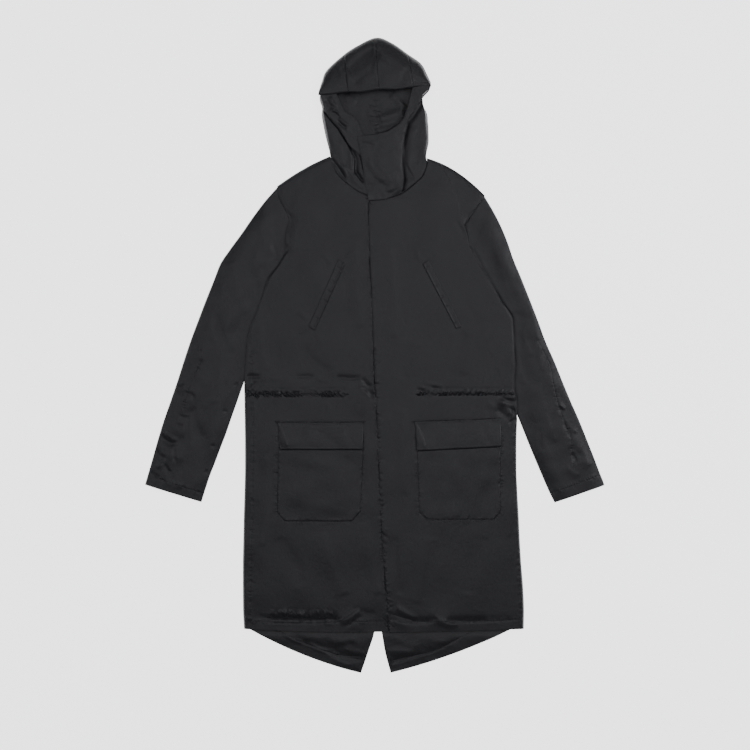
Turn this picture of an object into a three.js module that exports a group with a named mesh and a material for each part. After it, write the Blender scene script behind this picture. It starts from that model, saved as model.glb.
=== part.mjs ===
// A hooded fishtail parka of thin plain cloth, closed and laid flat on its back.
// Millimetres. X runs across the garment, Y from the hem up to the hood, Z up from the floor.
// Right and left are the wearer's, so the right half lies at negative X.
import * as THREE from 'three';

// Driving sizes of the cloth and of how high its layers lie
const wall = 1.2;               // thickness of a cloth wall
const seamGap = 0.6;            // between the edges of two pieces that lie side by side
const layerGap = 0.5;           // between a piece and what it lies on
const bodyFloor = 1.5;          // underside of a front where it meets the back
const bodyLoft = 4.2;           // how far the fronts stand off the back
const edgeRoll = 15;            // width over which an edge rolls down
const sleeveEdge = 3.2;         // height of a sleeve where it is pressed flat
const sleeveLoft = 4.6;         // extra height of a sleeve along its middle
const foldSpread = 14;          // width over which a panel climbs on to a sleeve
const sleeveRoll = 34;          // width over which a sleeve rises from its pressed edge
const climbRise = 2.7;          // how far a front climbs on to a sleeve
const climbMore = 1.7;          // and how much more below the underarm, over sleeve and back
const underlapReach = 34;       // the left front starts to rise this far from the right one's edge
const underlapSlope = 26;       // and has risen after this width
const overlapRise = 2.0;        // to lie this much higher
const hoodBrim = 20;            // height of the brim edge over the floor
const neckTop = 421;            // Y of the top of the neck seam, at the shoulders
const collarFoot = 3.4;         // height of the collar over the floor of the fronts at the neck seam
const collarRise = 7.5;         // how far the collar climbs from the neck seam to the brim
const collarLow = 346;          // Y where the collar starts to climb
const collarHigh = 545;         // Y where it meets the brim
const collarRoll = 26;          // width over which the collar rolls down at the outline
const chinBulge = 3;            // how far the chin guard stands off over the throat
const pocketPuff = 0.9;         // how far a patch pocket stands off in its middle

// Colours of the cloth: where it faces up, and on the back, which lies in the shade
const shellColour = '#303033';
const shadeColour = '#28282b';

const clamp = (value) => Math.min(1, Math.max(0, value));
const mix = (from, to, share) => from + (to - from) * share;

// Soft step: 0 below 0, 1 above 1, level at both ends
function soft(value) {
  const share = clamp(value);
  return share * share * (3 - 2 * share);
}

// Quarter round: rises steeply from an edge and levels off
const round = (value) => Math.sin(clamp(value) * Math.PI / 2);

// Names the columns of a table whose rows are plain lists
function table(columns, rows) {
  return rows.map((row) => Object.fromEntries(columns.map((column, place) => [column, row[place]])));
}

// Reads a column by straight lines between rows, where another column falls from row to row
function readTable(rows, by, column, value) {
  let place = 0;
  while (place < rows.length - 2 && rows[place + 1][by] > value) {
    place += 1;
  }
  const above = rows[place];
  const below = rows[place + 1];
  const share = clamp((above[by] - value) / (above[by] - below[by]));
  return mix(above[column], below[column], share);
}

// Armholes: shared edge of sleeve, front and back, from the shoulder point to the underarm,
// and on down the hidden inner edge of the sleeve to where it comes out from under the side
const armholeStations = [0, 0.06, 0.16, 0.27, 0.41, 0.53, 0.68, 0.83, 1];
const armhole = {
  right: table(['y', 'x'], [
    [355, -206], [340.1, -204.5], [315.3, -193.5], [288, -181.7], [253.3, -176], [223.6, -174.5],
    [186.4, -179], [149.2, -189], [107, -218.4], [34, -243.6], [-71, -281], [-600, -470],
  ]),
  left: table(['y', 'x'], [
    [336, 231], [322.3, 221], [299.4, 205], [274.2, 191.5], [242.1, 185], [214.6, 182.5],
    [180.3, 183.6], [145.9, 190], [107, 203.7], [34, 235.2], [-50, 268.8], [-134, 302.4], [-600, 490],
  ]),
};
const underarm = 107;           // Y of both underarm points
const foldStart = 290;          // below this Y the fronts lie over the sleeves
const climbEnd = -150;          // below this Y no sleeve lies under the body
const pointsPerGather = 4;      // points of a section along each gather of the casing
const sideOf = { right: -1, left: 1 };

// Fronts, a row for each section: inner edge (neck seam, then centre edge) and outer edge
// (shoulder point, armhole seam, fold over the sleeve, side)
const frontRows = {
  right: table(['innerX', 'innerY', 'outerX', 'outerY', 'bow'], [
    [-94.5, 419, -205.4, 356, 5], [-81, 384.3, -204, 340.1, 3], [-57, 360.2, -193, 315.3, 1],
    [-38, 346.5, -187, 301, 0], [-17, 337, -181.7, 288, 0], [36, 329, -186, 270, 0],
    [37, 290, -189, 252, 0], [38, 250, -190, 221, 0], [40, 215, -203, 193, 0],
    [41, 180, -226, 163, 0], [43, 140, -236, 128, 0], [45, 95, -250, 90, 0],
    [47, 50, -266, 49, 0], [48, 12, -270.5, 12, 0], [49, -20, -272.5, -20, 0],
    [50, -44, -274, -44, 0], [51, -60, -274.3, -60, 0], [52, -68, -274.4, -68, 0],
    [52, -73, -274.4, -73, 0], [52, -78, -274.4, -78, 0], [52, -83, -274.3, -83, 0],
    [53, -91, -274.2, -91, 0], [54, -108, -274, -108, 0], [55, -140, -273.5, -140, 0],
    [57, -185, -273, -185, 0], [60, -235, -273, -235, 0], [62, -285, -274, -285, 0],
    [64, -335, -275.5, -335, 0], [67, -385, -276.5, -385, 0], [71, -435, -277.5, -435, 0],
    [74, -485, -277.5, -485, 0], [77, -535, -277, -535, 0], [80, -577, -275, -572.5, -4],
  ]),
  left: table(['innerX', 'innerY', 'outerX', 'outerY', 'bow'], [
    [108.4, 415, 230.4, 337, 12], [109, 405, 220.5, 322.3, 7], [101, 380, 204.5, 299.4, 4],
    [78, 357, 196, 283, 2], [55, 339.5, 191.1, 274.2, 0], [20, 328, 196, 256, 0],
    [-14, 325, 202, 231, 0], [-14.5, 285, 212, 212, 0], [-13.5, 250, 220.5, 195, 0],
    [-11.5, 205, 231, 177, 0], [-9.5, 160, 241.5, 157, 0], [-7.6, 118, 264, 116, 0],
    [-6, 80, 288, 79, 0], [-4.9, 48, 290, 48, 0], [-4, 12, 292, 12, 0], [-3.1, -20, 293.2, -20, 0],
    [-2.2, -44, 292, -44, 0], [-1.2, -58, 291, -58, 0], [-0.9, -65, 291, -65, 0],
    [-0.6, -70, 291.5, -70, 0], [-0.3, -75, 292.5, -75, 0], [0, -80, 293.5, -80, 0],
    [0.6, -88, 295.3, -88, 0], [1.5, -104, 297, -104, 0], [3.2, -140, 298, -140, 0],
    [5, -185, 297, -185, 0], [7, -235, 297, -235, 0], [9, -285, 299, -285, 0],
    [10.3, -335, 301.8, -335, 0], [13.6, -385, 304, -385, 0], [17.6, -435, 307, -435, 0],
    [21.5, -485, 311, -485, 0], [25.4, -535, 313, -535, 0], [28.1, -579.4, 312.5, -572.5, -1],
  ]),
};

// Shoulder seams, for the roll along them
const shoulder = {
  right: table(['x', 'y'], [[-94.5, 420], [-122, 405.5], [-161, 385.5], [-206, 356]]),
  left: table(['x', 'y'], [[231, 336], [183, 376], [147, 399], [108, 418]]),
};

// The fold of each front beside the armhole: main body on the inner side, lower wedge outside
const armFold = {
  right: { rows: table(['y', 'x'], [[346, -166], [318, -172], [288, -181]]), rise: 0.6, width: 16 },
  left: { rows: table(['y', 'x'], [[399, 140.7], [383, 149], [348, 165], [308, 178.5], [275, 190.6]]),
    rise: 1, width: 4 },
};

// Broad soft folds of the fronts: a line, its half width, and its height (below 0 is a trough)
const frontFolds = table(['startX', 'startY', 'endX', 'endY', 'spread', 'height'], [
  [-150, 330, -110, 120, 30, 0.9],
  [-235, 120, -205, -20, 22, -0.8],
  [-120, 60, -60, -40, 34, 0.8],
  [-200, -110, -215, -240, 24, 0.7],
  [-60, -120, -90, -300, 30, -0.7],
  [-245, -330, -230, -520, 22, 0.8],
  [-60, -540, -30, -575, 14, 1.2],
  [120, 330, 90, 150, 30, 0.9],
  [240, 110, 180, -10, 26, 0.8],
  [60, 40, 110, -40, 30, 0.8],
  [262, -88, 292, -112, 12, 2.2],
  [262, -122, 300, -98, 12, -1.4],
  [200, -130, 240, -260, 30, 0.7],
  [280, -300, 262, -500, 24, 0.8],
  [30, -540, 70, -570, 12, 1.2],
  [120, -545, 180, -572, 16, 1.0],
]);

// Height of a set of soft folds at a place: each is a smooth ridge that fades at its ends
function foldHeight(folds, x, y) {
  let height = 0;
  for (const fold of folds) {
    const alongX = fold.endX - fold.startX;
    const alongY = fold.endY - fold.startY;
    const length = Math.hypot(alongX, alongY);
    const along = ((x - fold.startX) * alongX + (y - fold.startY) * alongY) / length;
    const across = ((x - fold.startX) * alongY - (y - fold.startY) * alongX) / length;
    const fade = soft((along + fold.spread) / (2 * fold.spread))
      * soft((length - along + fold.spread) / (2 * fold.spread));
    height += fold.height * fade * Math.exp(-((across / fold.spread) ** 2));
  }
  return height;
}

// Waist gathers: small slanted folds along the drawn-in casing, over the trough of the casing line
const gathers = {
  right: { fromX: -268, toX: -66, y: -75, count: 14, height: 1.1, reach: 11, slant: 0.5 },
  left: { fromX: 92, toX: 288, y: -73, count: 20, height: 1.0, reach: 9, slant: -0.4 },
};

function gatherHeight(half, x, y) {
  const line = gathers[half];
  const pitch = (line.toX - line.fromX) / line.count;
  const fade = soft((x - line.fromX) / pitch) * soft((line.toX - x) / pitch);
  const away = (y - line.y) / line.reach;
  const phase = 2 * Math.PI * (x - line.fromX + line.slant * (y - line.y)) / pitch;
  return fade * Math.exp(-away * away) * (line.height * Math.cos(phase) - line.height * 0.4);
}

// 1 where a sleeve lies under the body, 0 well inside it
function overSleeve(half, x, y) {
  const edge = readTable(armhole[half], 'y', 'x', y);
  return soft((sideOf[half] * (x - edge) + foldSpread) / (foldSpread - 2));
}

// Underside of a back: on the floor, lifted only where the sleeve lies under the side
function backUnderside(half, x, y) {
  const gate = soft((underarm + 55 - y) / 50);
  return (sleeveEdge + layerGap) * gate * overSleeve(half, x, y);
}

// Distance of a place inside the outer edge of a front
function insideEdge(half, x, y) {
  return sideOf[half] * (readTable(frontRows[half], 'outerY', 'outerX', y) - x);
}

// Distance of a place below the shoulder seam
function belowShoulder(half, x, y) {
  return readTable(shoulder[half], 'x', 'y', x) - y;
}

// Underside of a front: stands off the back, rolls down at side and shoulder, climbs on to the sleeve
function frontUnderside(half, x, y) {
  const side = sideOf[half];
  const rolledSide = round(insideEdge(half, x, y) / edgeRoll + 0.05);
  const rolled = rolledSide * round(belowShoulder(half, x, y) / edgeRoll + 0.05);
  const climb = climbRise + climbMore * soft((underarm + 70 - y) / 50);
  const lift = climb * overSleeve(half, x, y) * soft((foldStart + 28 - y) / 28);
  const fold = armFold[half];
  let loft = bodyLoft;
  const top = fold.rows[0].y;
  const bottom = fold.rows.at(-1).y;
  if (y > bottom - 1) {
    // Outside the fold beside the armhole the panel lies nearly flat
    const flattened = 0.12;
    const edge = readTable(fold.rows, 'y', 'x', Math.min(y, top));
    const inner = soft((side * (edge - x)) / fold.width + 0.5);
    const fade = fold.rise * soft((top + 20 - y) / 40);
    loft = bodyLoft * mix(1, mix(flattened, 1, inner), fade);
  }
  const folds = foldHeight(frontFolds, x, y) + gatherHeight(half, x, y);
  return bodyFloor + Math.max(loft * rolled, lift) + rolled * folds;
}

// The left front closes over the right one, so it lies higher along the closing edge
function bodyUnderside(half, x, y) {
  const under = frontUnderside(half, x, y);
  if (half === 'right') {
    const share = soft((x + 20) / 20);
    return share > 0 ? mix(under, frontUnderside('left', x, y), share) : under;
  }
  const inner = readTable(frontRows.right, 'innerY', 'innerX', y);
  return under + overlapRise * soft((inner + underlapReach - x) / underlapSlope);
}

// Triangles between two rows of points, as places in the joined rows: like places meet, or where
// the counts may differ, like shares of the rows' lengths
function rowTriangles(first, second, byPlace) {
  const shares = (row) => {
    if (byPlace) {
      return row.map((point, place) => place / (row.length - 1));
    }
    const lengths = [0];
    for (let place = 1; place < row.length; place += 1) {
      const step = Math.hypot(row[place].x - row[place - 1].x, row[place].y - row[place - 1].y);
      lengths.push(lengths[place - 1] + step);
    }
    return lengths.map((length) => length / lengths.at(-1));
  };
  const firstShares = shares(first);
  const secondShares = shares(second);
  const triangles = [];
  let a = 0;
  let b = 0;
  while (a < first.length - 1 || b < second.length - 1) {
    const nextA = a < first.length - 1 ? firstShares[a + 1] : 2;
    const nextB = b < second.length - 1 ? secondShares[b + 1] : 2;
    if (nextA <= nextB) {
      triangles.push([a, first.length + b, a + 1]);
      a += 1;
    } else {
      triangles.push([a, first.length + b, first.length + b + 1]);
      b += 1;
    }
  }
  return triangles;
}

// Turns faces so that they point out of the body, and makes the geometry
function closedGeometry(points, faces) {
  let volume = 0;
  for (const [a, b, c] of faces) {
    volume += points[a].dot(new THREE.Vector3().crossVectors(points[b], points[c]));
  }
  const index = faces.flatMap(([a, b, c]) => (volume > 0 ? [a, b, c] : [a, c, b]));
  const geometry = new THREE.BufferGeometry();
  geometry.setAttribute('position', new THREE.Float32BufferAttribute(points.flatMap((p) => [p.x, p.y, p.z]), 3));
  geometry.setIndex(index);
  geometry.computeVertexNormals();
  return geometry;
}

// A wall between two like sets of rows, closed all round its edge
function wallBetween(upper, lower, byPlace = false) {
  const points = [...upper.flat(), ...lower.flat()];
  const starts = [];
  let total = 0;
  for (const row of upper) {
    starts.push(total);
    total += row.length;
  }
  const faces = [];
  const quad = (a, b) => {
    faces.push([a, b, b + total]);
    faces.push([a, b + total, a + total]);
  };
  for (let row = 0; row < upper.length - 1; row += 1) {
    for (const triangle of rowTriangles(upper[row], upper[row + 1], byPlace)) {
      const [a, b, c] = triangle.map((place) => starts[row] + place);
      faces.push([a, b, c]);
      faces.push([a + total, c + total, b + total]);
    }
    const lastHere = starts[row] + upper[row].length - 1;
    const lastNext = starts[row + 1] + upper[row + 1].length - 1;
    quad(starts[row + 1], starts[row]);
    quad(lastHere, lastNext);
  }
  const bottom = starts.at(-1);
  for (let place = 0; place < upper[0].length - 1; place += 1) {
    quad(place, place + 1);
  }
  for (let place = 0; place < upper.at(-1).length - 1; place += 1) {
    quad(bottom + place + 1, bottom + place);
  }
  return closedGeometry(points, faces);
}

// A tube wall between outer and inner rings, open at both ends
function tubeBetween(outer, inner) {
  const count = outer[0].length;
  const total = outer.length * count;
  const points = [...outer.flat(), ...inner.flat()];
  const faces = [];
  for (let ring = 0; ring < outer.length - 1; ring += 1) {
    for (let place = 0; place < count; place += 1) {
      const next = (place + 1) % count;
      const a = ring * count + place;
      const b = ring * count + next;
      const c = a + count;
      const d = b + count;
      faces.push([a, c, b], [b, c, d]);
      faces.push([a + total, b + total, c + total], [b + total, d + total, c + total]);
    }
  }
  for (let place = 0; place < count; place += 1) {
    const next = (place + 1) % count;
    const last = total - count;
    faces.push([place, next, place + total], [next, next + total, place + total]);
    faces.push([last + place, last + place + total, last + next]);
    faces.push([last + next, last + place + total, last + next + total]);
  }
  return closedGeometry(points, faces);
}

// A wall that hangs under rows of upper points
function sheetFrom(rows) {
  const lower = rows.map((row) => row.map((point) => new THREE.Vector3(point.x, point.y, point.z - wall)));
  return wallBetween(rows, lower);
}

const parka = new THREE.Group();

function addPiece(name, geometry, colour = shellColour) {
  const material = new THREE.MeshStandardMaterial({ color: colour, roughness: 0.6, metalness: 0 });
  const piece = new THREE.Mesh(geometry, material);
  piece.name = name;
  parka.add(piece);
}

// Even shares from the inner to the outer edge of a section, with finer ones at the rolled edge
function sectionShares(section, count) {
  const width = sectionWidth(section);
  const flat = 1 - edgeRoll / width;
  const even = Array.from({ length: count }, (unused, place) => flat * (place + 1) / count);
  return [...even, 1 - edgeRoll * 0.4 / width, 1 - edgeRoll * 0.12 / width];
}

function sectionPoint(section, share) {
  return new THREE.Vector2(
    mix(section.innerX, section.outerX, share),
    mix(section.innerY, section.outerY, share) + section.bow * 4 * share * (1 - share),
  );
}

const sectionWidth = (section) => Math.hypot(section.outerX - section.innerX, section.outerY - section.innerY);

// Share at which a section crosses a line that runs down the garment
function crossingShare(half, section, line) {
  let near = 0;
  let far = 1;
  for (let step = 0; step < 30; step += 1) {
    const middle = (near + far) / 2;
    const point = sectionPoint(section, middle);
    if (sideOf[half] * (point.x - readTable(line, 'y', 'x', point.y)) < 0) {
      near = middle;
    } else {
      far = middle;
    }
  }
  return near;
}

// Shares on each side of the step at the fold beside the armhole
function foldShares(half, section) {
  const fold = armFold[half];
  if (section.innerY < fold.rows.at(-1).y || section.outerY > fold.rows[0].y) {
    return [];
  }
  const crossing = crossingShare(half, section, fold.rows);
  const step = fold.width * 0.5 / sectionWidth(section);
  return [crossing - step, crossing + step];
}

// Shares along the climb on to the sleeve that lies under the body
function climbShares(half, section, highest) {
  if (section.outerY > highest || section.outerY < climbEnd) {
    return [];
  }
  const crossing = crossingShare(half, section, armhole[half]);
  const width = sectionWidth(section);
  return [foldSpread, foldSpread * 0.6, foldSpread * 0.35, 1].map((back) => crossing - back / width);
}

// Sorts shares and drops those outside the section or too close to the one before
function tidyShares(shares, width) {
  const leastStep = 1.2 / width;
  const inside = shares.filter((share) => share > leastStep && share < 1 - leastStep).sort((a, b) => a - b);
  const kept = [0];
  for (const share of inside) {
    if (share - kept.at(-1) > leastStep) {
      kept.push(share);
    }
  }
  return [...kept, 1];
}

// A front: its sections, with the casing's fine points in the rows along the waist
function makeFront(half) {
  const line = gathers[half];
  const rows = frontRows[half].map((section) => {
    const near = Math.abs(section.innerY - line.y) < line.reach && section.innerY === section.outerY;
    let shares = [...sectionShares(section, 7), ...foldShares(half, section),
      ...climbShares(half, section, foldStart + 15)];
    if (near) {
      const across = section.outerX - section.innerX;
      const ends = [(line.fromX - section.innerX) / across, (line.toX - section.innerX) / across];
      const low = Math.min(...ends);
      const high = Math.max(...ends);
      const fine = line.count * pointsPerGather;
      shares = shares.filter((share) => share < low || share > high);
      shares.push(...Array.from({ length: fine + 1 }, (unused, place) => mix(low, high, place / fine)));
    }
    return tidyShares(shares, sectionWidth(section)).map((share) => {
      const point = sectionPoint(section, share);
      return new THREE.Vector3(point.x, point.y, bodyUnderside(half, point.x, point.y) + wall);
    });
  });
  addPiece(`front_${half}`, sheetFrom(rows));
}

// Backs, a row for each section from the neck down: centre seam and outer edge; the last rows
// open the vent and end on the fishtail hem. peak lifts a row towards the neck point
const backRows = {
  right: table(['innerX', 'innerY', 'outerX', 'outerY', 'peak', 'bow'], [
    [3.8, 405, -205.2, 355, 35, 0], [3.8, 385, -203.9, 340.1, 20, 0], [3.8, 350, -192.9, 315.3, 6, 0],
    [3.8, 310, -181.1, 288, 0, 0], [3.8, 262, -175.4, 253.3, 0, 0], [3.8, 226, -173.9, 223.6, 0, 0],
    [3.8, 186, -178.4, 186.4, 0, 0], [3.8, 149, -188.4, 149.2, 0, 0], [3.8, 110, -217.6, 107.6, 0, 0],
    [3.8, 95, -246, 95, 0, 0], [3.8, 70, -256, 70, 0, 0], [3.8, 49, -263, 49, 0, 0],
    [3.8, 12, -267, 12, 0, 0], [3.8, -20, -269.5, -20, 0, 0], [3.8, -44, -271, -44, 0, 0],
    [3.8, -73, -271.5, -73, 0, 0], [3.8, -108, -271, -108, 0, 0], [3.8, -185, -270, -185, 0, 0],
    [3.8, -300, -271.5, -300, 0, 0], [3.8, -400, -274, -400, 0, 0], [3.8, -480, -274.5, -480, 0, 0],
    [3.8, -540, -274.3, -520, 0, 0], [-1.5, -580, -274, -545, 0, -3], [-14, -620, -273.5, -558, 0, -6],
    [-29.5, -665.3, -273, -568, 0, -10],
  ]),
  left: table(['innerX', 'innerY', 'outerX', 'outerY', 'peak', 'bow'], [
    [4.2, 405, 230.4, 336, 38, 0], [4.2, 385, 220.4, 322.3, 20, 0], [4.2, 345, 204.4, 299.4, 6, 0],
    [4.2, 300, 190.9, 274.2, 0, 0], [4.2, 248, 184.4, 242.1, 0, 0], [4.2, 216, 181.9, 214.6, 0, 0],
    [4.2, 180, 183, 180.3, 0, 0], [4.2, 146, 189.4, 145.9, 0, 0], [4.2, 108, 203.1, 107.4, 0, 0],
    [4.2, 98, 262, 98, 0, 0], [4.2, 80, 284, 79, 0, 0], [4.2, 48, 286, 48, 0, 0],
    [4.2, 12, 288, 12, 0, 0], [4.2, -20, 289, -20, 0, 0], [4.2, -44, 288, -44, 0, 0],
    [4.2, -75, 289, -75, 0, 0], [4.2, -104, 292, -104, 0, 0], [4.2, -140, 293.5, -140, 0, 0],
    [4.2, -185, 293, -185, 0, 0],
    [4.2, -300, 296.5, -300, 0, 0], [4.2, -400, 301.5, -400, 0, 0], [4.2, -480, 307, -480, 0, 0],
    [4.2, -540, 309.5, -520, 0, 0], [14, -580, 309.7, -540, 0, -3], [21, -620, 309.6, -552, 0, -6],
    [33, -665, 309.4, -562, 0, -9],
  ]),
};

function makeBack(half) {
  const neckShare = 0.46;         // the neck point lies this far along the top of a back
  const even = [0.2, 0.36, neckShare, 0.62, 0.8];
  const rows = backRows[half].map((section) => {
    const shares = [...even, ...climbShares(half, section, underarm + 60)];
    return tidyShares(shares, sectionWidth(section)).map((share) => {
      const point = sectionPoint(section, share);
      const tent = share < neckShare ? share / neckShare : (1 - share) / (1 - neckShare);
      const y = point.y + section.peak * tent;
      return new THREE.Vector3(point.x, y, backUnderside(half, point.x, y) + wall);
    });
  });
  addPiece(`back_${half}`, sheetFrom(rows), shadeColour);
}

// Sleeves, a row for each ring from the armhole to the cuff: outer and inner edge of the flat tube
const sleeveRows = {
  right: table(['outerX', 'outerY', 'innerX', 'innerY'], [
    [-206, 355, -218.4, 107], [-232, 325, -221, 99], [-257, 291, -224.5, 89], [-281, 256, -229, 76],
    [-304.5, 223.7, -234, 62], [-325, 193, -240, 44], [-338, 160, -247, 24], [-355, 117.6, -257, -4],
    [-372, 73, -267.5, -34], [-388, 30, -279, -66], [-402, -12, -290, -98], [-415, -53, -302, -132],
    [-429, -94, -313, -164], [-443, -134, -323, -190], [-456, -176, -335, -222], [-467, -215, -346, -250],
    [-476, -246, -356, -280], [-483, -270, -364.4, -306.6],
  ]),
  left: table(['outerX', 'outerY', 'innerX', 'innerY'], [
    [231, 336, 203.7, 107], [251, 301, 207.6, 98], [267, 268, 211.5, 89], [280, 235, 216, 79],
    [290, 205, 221, 67.5], [306, 166.7, 228, 51], [325.5, 117.6, 237.5, 28], [342, 75, 248, 2],
    [358, 31, 259, -26], [377, -12, 270, -54], [394, -54, 283, -86], [411, -95, 296.5, -119],
    [428.4, -134.4, 311, -155], [446, -178, 327.5, -196], [461, -216, 343, -233], [472, -245, 358, -268],
    [478, -260, 368, -290], [482, -271, 377, -307.7],
  ]),
};

// Folds of the sleeves, as those of the fronts
const sleeveFolds = table(['startX', 'startY', 'endX', 'endY', 'spread', 'height'], [
  [-330, 150, -300, 40, 22, 1.2],
  [-440, -172, -395, -180, 12, -1.8],
  [-435, -205, -405, -215, 10, 1.4],
  [-400, -90, -345, -60, 18, 1.0],
  [-370, -150, -340, -250, 16, -1.0],
  [300, 150, 330, 40, 22, 1.2],
  [385, -60, 420, -160, 16, -1.0],
  [340, -150, 365, -250, 18, 1.0],
  [430, -215, 455, -235, 10, 1.2],
]);

// Height of a sleeve's upper face: pressed flat at both edges and under the body, lofted between
function sleeveTop(half, section, share, x, y) {
  const width = Math.hypot(section.outerX - section.innerX, section.outerY - section.innerY);
  const outside = sideOf[half] * (x - readTable(frontRows[half], 'outerY', 'outerX', y));
  const free = Math.min(share, 1 - share) * width;
  const fromMouth = soft((sleeveRows[half][0].outerY - section.outerY) / 40);
  const loft = round(free / sleeveRoll) * soft((outside - 12) / 45) * fromMouth;
  return sleeveEdge + (sleeveLoft + foldHeight(sleeveFolds, x, y)) * loft;
}

function makeSleeve(half) {
  const side = sideOf[half];
  const nearEdge = 2.2;           // the tube's edge is rounded over this distance
  const mouthX = armholeStations.map((share, place) => armhole[half][place].x + side * seamGap / 2);
  const outerRings = [];
  const innerRings = [];
  sleeveRows[half].forEach((section, ring) => {
    const width = Math.hypot(section.outerX - section.innerX, section.outerY - section.innerY);
    const bend = Math.max(0, 1 - ring / 4) ** 2;
    const first = sleeveRows[half][0];
    const place = (share) => {
      let x = mix(section.outerX, section.innerX, share);
      const y = mix(section.outerY, section.innerY, share);
      let station = 0;
      while (station < armholeStations.length - 2 && armholeStations[station + 1] < share) {
        station += 1;
      }
      const part = (share - armholeStations[station]) / (armholeStations[station + 1] - armholeStations[station]);
      const curve = mix(mouthX[station], mouthX[station + 1], part) - mix(first.outerX, first.innerX, share);
      x += curve * bend;
      return [x, y];
    };
    const shares = [nearEdge / width, ...armholeStations.slice(1, -1), 1 - nearEdge / width];
    const [outX, outY] = place(0);
    const [inX, inY] = place(1);
    const mid = sleeveEdge / 2;
    const point = (x, y, z) => new THREE.Vector3(x, y, z);
    const upper = shares.map((share) => {
      const [x, y] = place(share);
      const nearSide = share === shares[0] || share === shares.at(-1);
      return [x, y, nearSide ? sleeveEdge - 0.1 : sleeveTop(half, section, share, x, y)];
    });
    const outerRing = [point(outX, outY, mid)];
    outerRing.push(...upper.map(([x, y, z]) => point(x, y, z)));
    outerRing.push(point(inX, inY, mid));
    outerRing.push(...[...upper].reverse().map(([x, y]) => point(x, y, 0)));
    const edgeShare = wall * 1.15 / width;
    const tuck = (nearEdge + 1.4) / width;
    const innerShares = [tuck, ...armholeStations.slice(1, -1), 1 - tuck];
    const innerUpper = innerShares.map((share, at) => {
      const [x, y] = place(share);
      const nearSide = at === 0 || at === innerShares.length - 1;
      return [x, y, nearSide ? mid + 0.25 : upper[at][2] - wall, nearSide ? mid - 0.25 : wall];
    });
    const [tuckX, tuckY] = place(edgeShare);
    const [tuckInX, tuckInY] = place(1 - edgeShare);
    const innerRing = [point(tuckX, tuckY, mid)];
    innerRing.push(...innerUpper.map(([x, y, z]) => point(x, y, z)));
    innerRing.push(point(tuckInX, tuckInY, mid));
    innerRing.push(...[...innerUpper].reverse().map(([x, y, , low]) => point(x, y, low)));
    outerRings.push(outerRing);
    innerRings.push(innerRing);
  });
  addPiece(`sleeve_${half}`, tubeBetween(outerRings, innerRings));
}

// Hood, a row for each section from the right brim corner to the left one:
// outline of the crown, edge of the brim, and foot of the hidden back of the hood at the neck
const hoodRows = table(['topX', 'topY', 'brimX', 'brimY', 'neckX', 'neckY'], [
  [-117.3, 557, -118.6, 545, -93.5, 421.5], [-111.5, 576, -108, 545.6, -88, 420], [-101, 600, -92, 547, -78, 417.5],
  [-65, 632, -56.7, 551.5, -50, 413], [-35, 651, -27, 551, -25, 409.5], [3, 666.8, 8.4, 557, 3, 407],
  [35, 656, 44, 557, 28, 408], [69, 633, 79.8, 562, 52, 412], [96, 614, 97, 563.5, 78, 417.5],
  [108, 592, 108, 564.5, 95, 420], [116.8, 573, 117.3, 564, 106, 421],
]);
const seamRightPlace = 3;
const centrePlace = 5;
const seamLeftPlace = 7;

// Profile of the hood's fold, from the brim edge round the crown to the back: distance from the
// outline as a share of the panel, and height as a share of the brim's
const hoodProfile = table(['reach', 'height'], [
  [1, 1], [0.72, 1.0], [0.45, 0.93], [0.24, 0.78], [0.11, 0.6], [0.035, 0.4], [0, 0.2],
]);

// Reads a table between its rows with a smooth curve through them
function rowAt(rows, place) {
  const base = Math.min(rows.length - 2, Math.floor(place));
  const share = place - base;
  const before = rows[Math.max(0, base - 1)];
  const here = rows[base];
  const next = rows[base + 1];
  const after = rows[Math.min(rows.length - 1, base + 2)];
  const result = {};
  for (const column of Object.keys(here)) {
    const a = before[column];
    const b = here[column];
    const c = next[column];
    const d = after[column];
    const bend = 2 * a - 5 * b + 4 * c - d + share * (3 * (b - c) + d - a);
    result[column] = b + 0.5 * share * (c - a + share * bend);
  }
  return result;
}

// Moves each point of a flat path sideways by a distance, for the other face of a wall
function offsetPath(path, distance) {
  return path.map((point, place) => {
    const before = path[Math.max(0, place - 1)];
    const after = path[Math.min(path.length - 1, place + 1)];
    const along = new THREE.Vector2().subVectors(after, before).normalize();
    return new THREE.Vector2(point.x + along.y * distance, point.y - along.x * distance);
  });
}

// A hood panel between two places of the table: back on the floor, fold at the crown, brim above
function makeHoodPanel(name, from, to, count, startShift, endShift) {
  const insides = [];
  const outsides = [];
  for (let step = 0; step <= count; step += 1) {
    const section = rowAt(hoodRows, mix(from, to, step / count));
    const shift = mix(startShift, endShift, step / count);
    const top = new THREE.Vector2(section.topX + shift, section.topY);
    const brim = new THREE.Vector2(section.brimX + shift, section.brimY);
    const neck = new THREE.Vector2(section.neckX + shift, section.neckY);
    const reach = top.distanceTo(brim);
    const depth = top.distanceTo(neck);
    const inside = hoodProfile.map((row) => new THREE.Vector2(row.reach * reach, row.height * hoodBrim));
    const tight = Math.min(1, reach / 40);
    inside.push(new THREE.Vector2(1.4 * tight, wall + 0.9), new THREE.Vector2(4, wall));
    for (const share of [0.3, 0.6, 0.85, 1]) {
      inside.push(new THREE.Vector2(depth * share, wall));
    }
    const outside = offsetPath(inside, wall);
    const upperCount = hoodProfile.length;
    for (const floorPoint of outside.slice(upperCount + 1)) {
      floorPoint.y = 0;
    }
    const place = (point, at) => {
      const goal = at < upperCount ? brim : neck;
      const span = at < upperCount ? reach : depth;
      const share = point.x / span;
      return new THREE.Vector3(mix(top.x, goal.x, share), mix(top.y, goal.y, share), point.y);
    };
    insides.push(inside.map(place));
    outsides.push(outside.map(place));
  }
  addPiece(name, wallBetween(insides, outsides, true));
}

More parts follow.
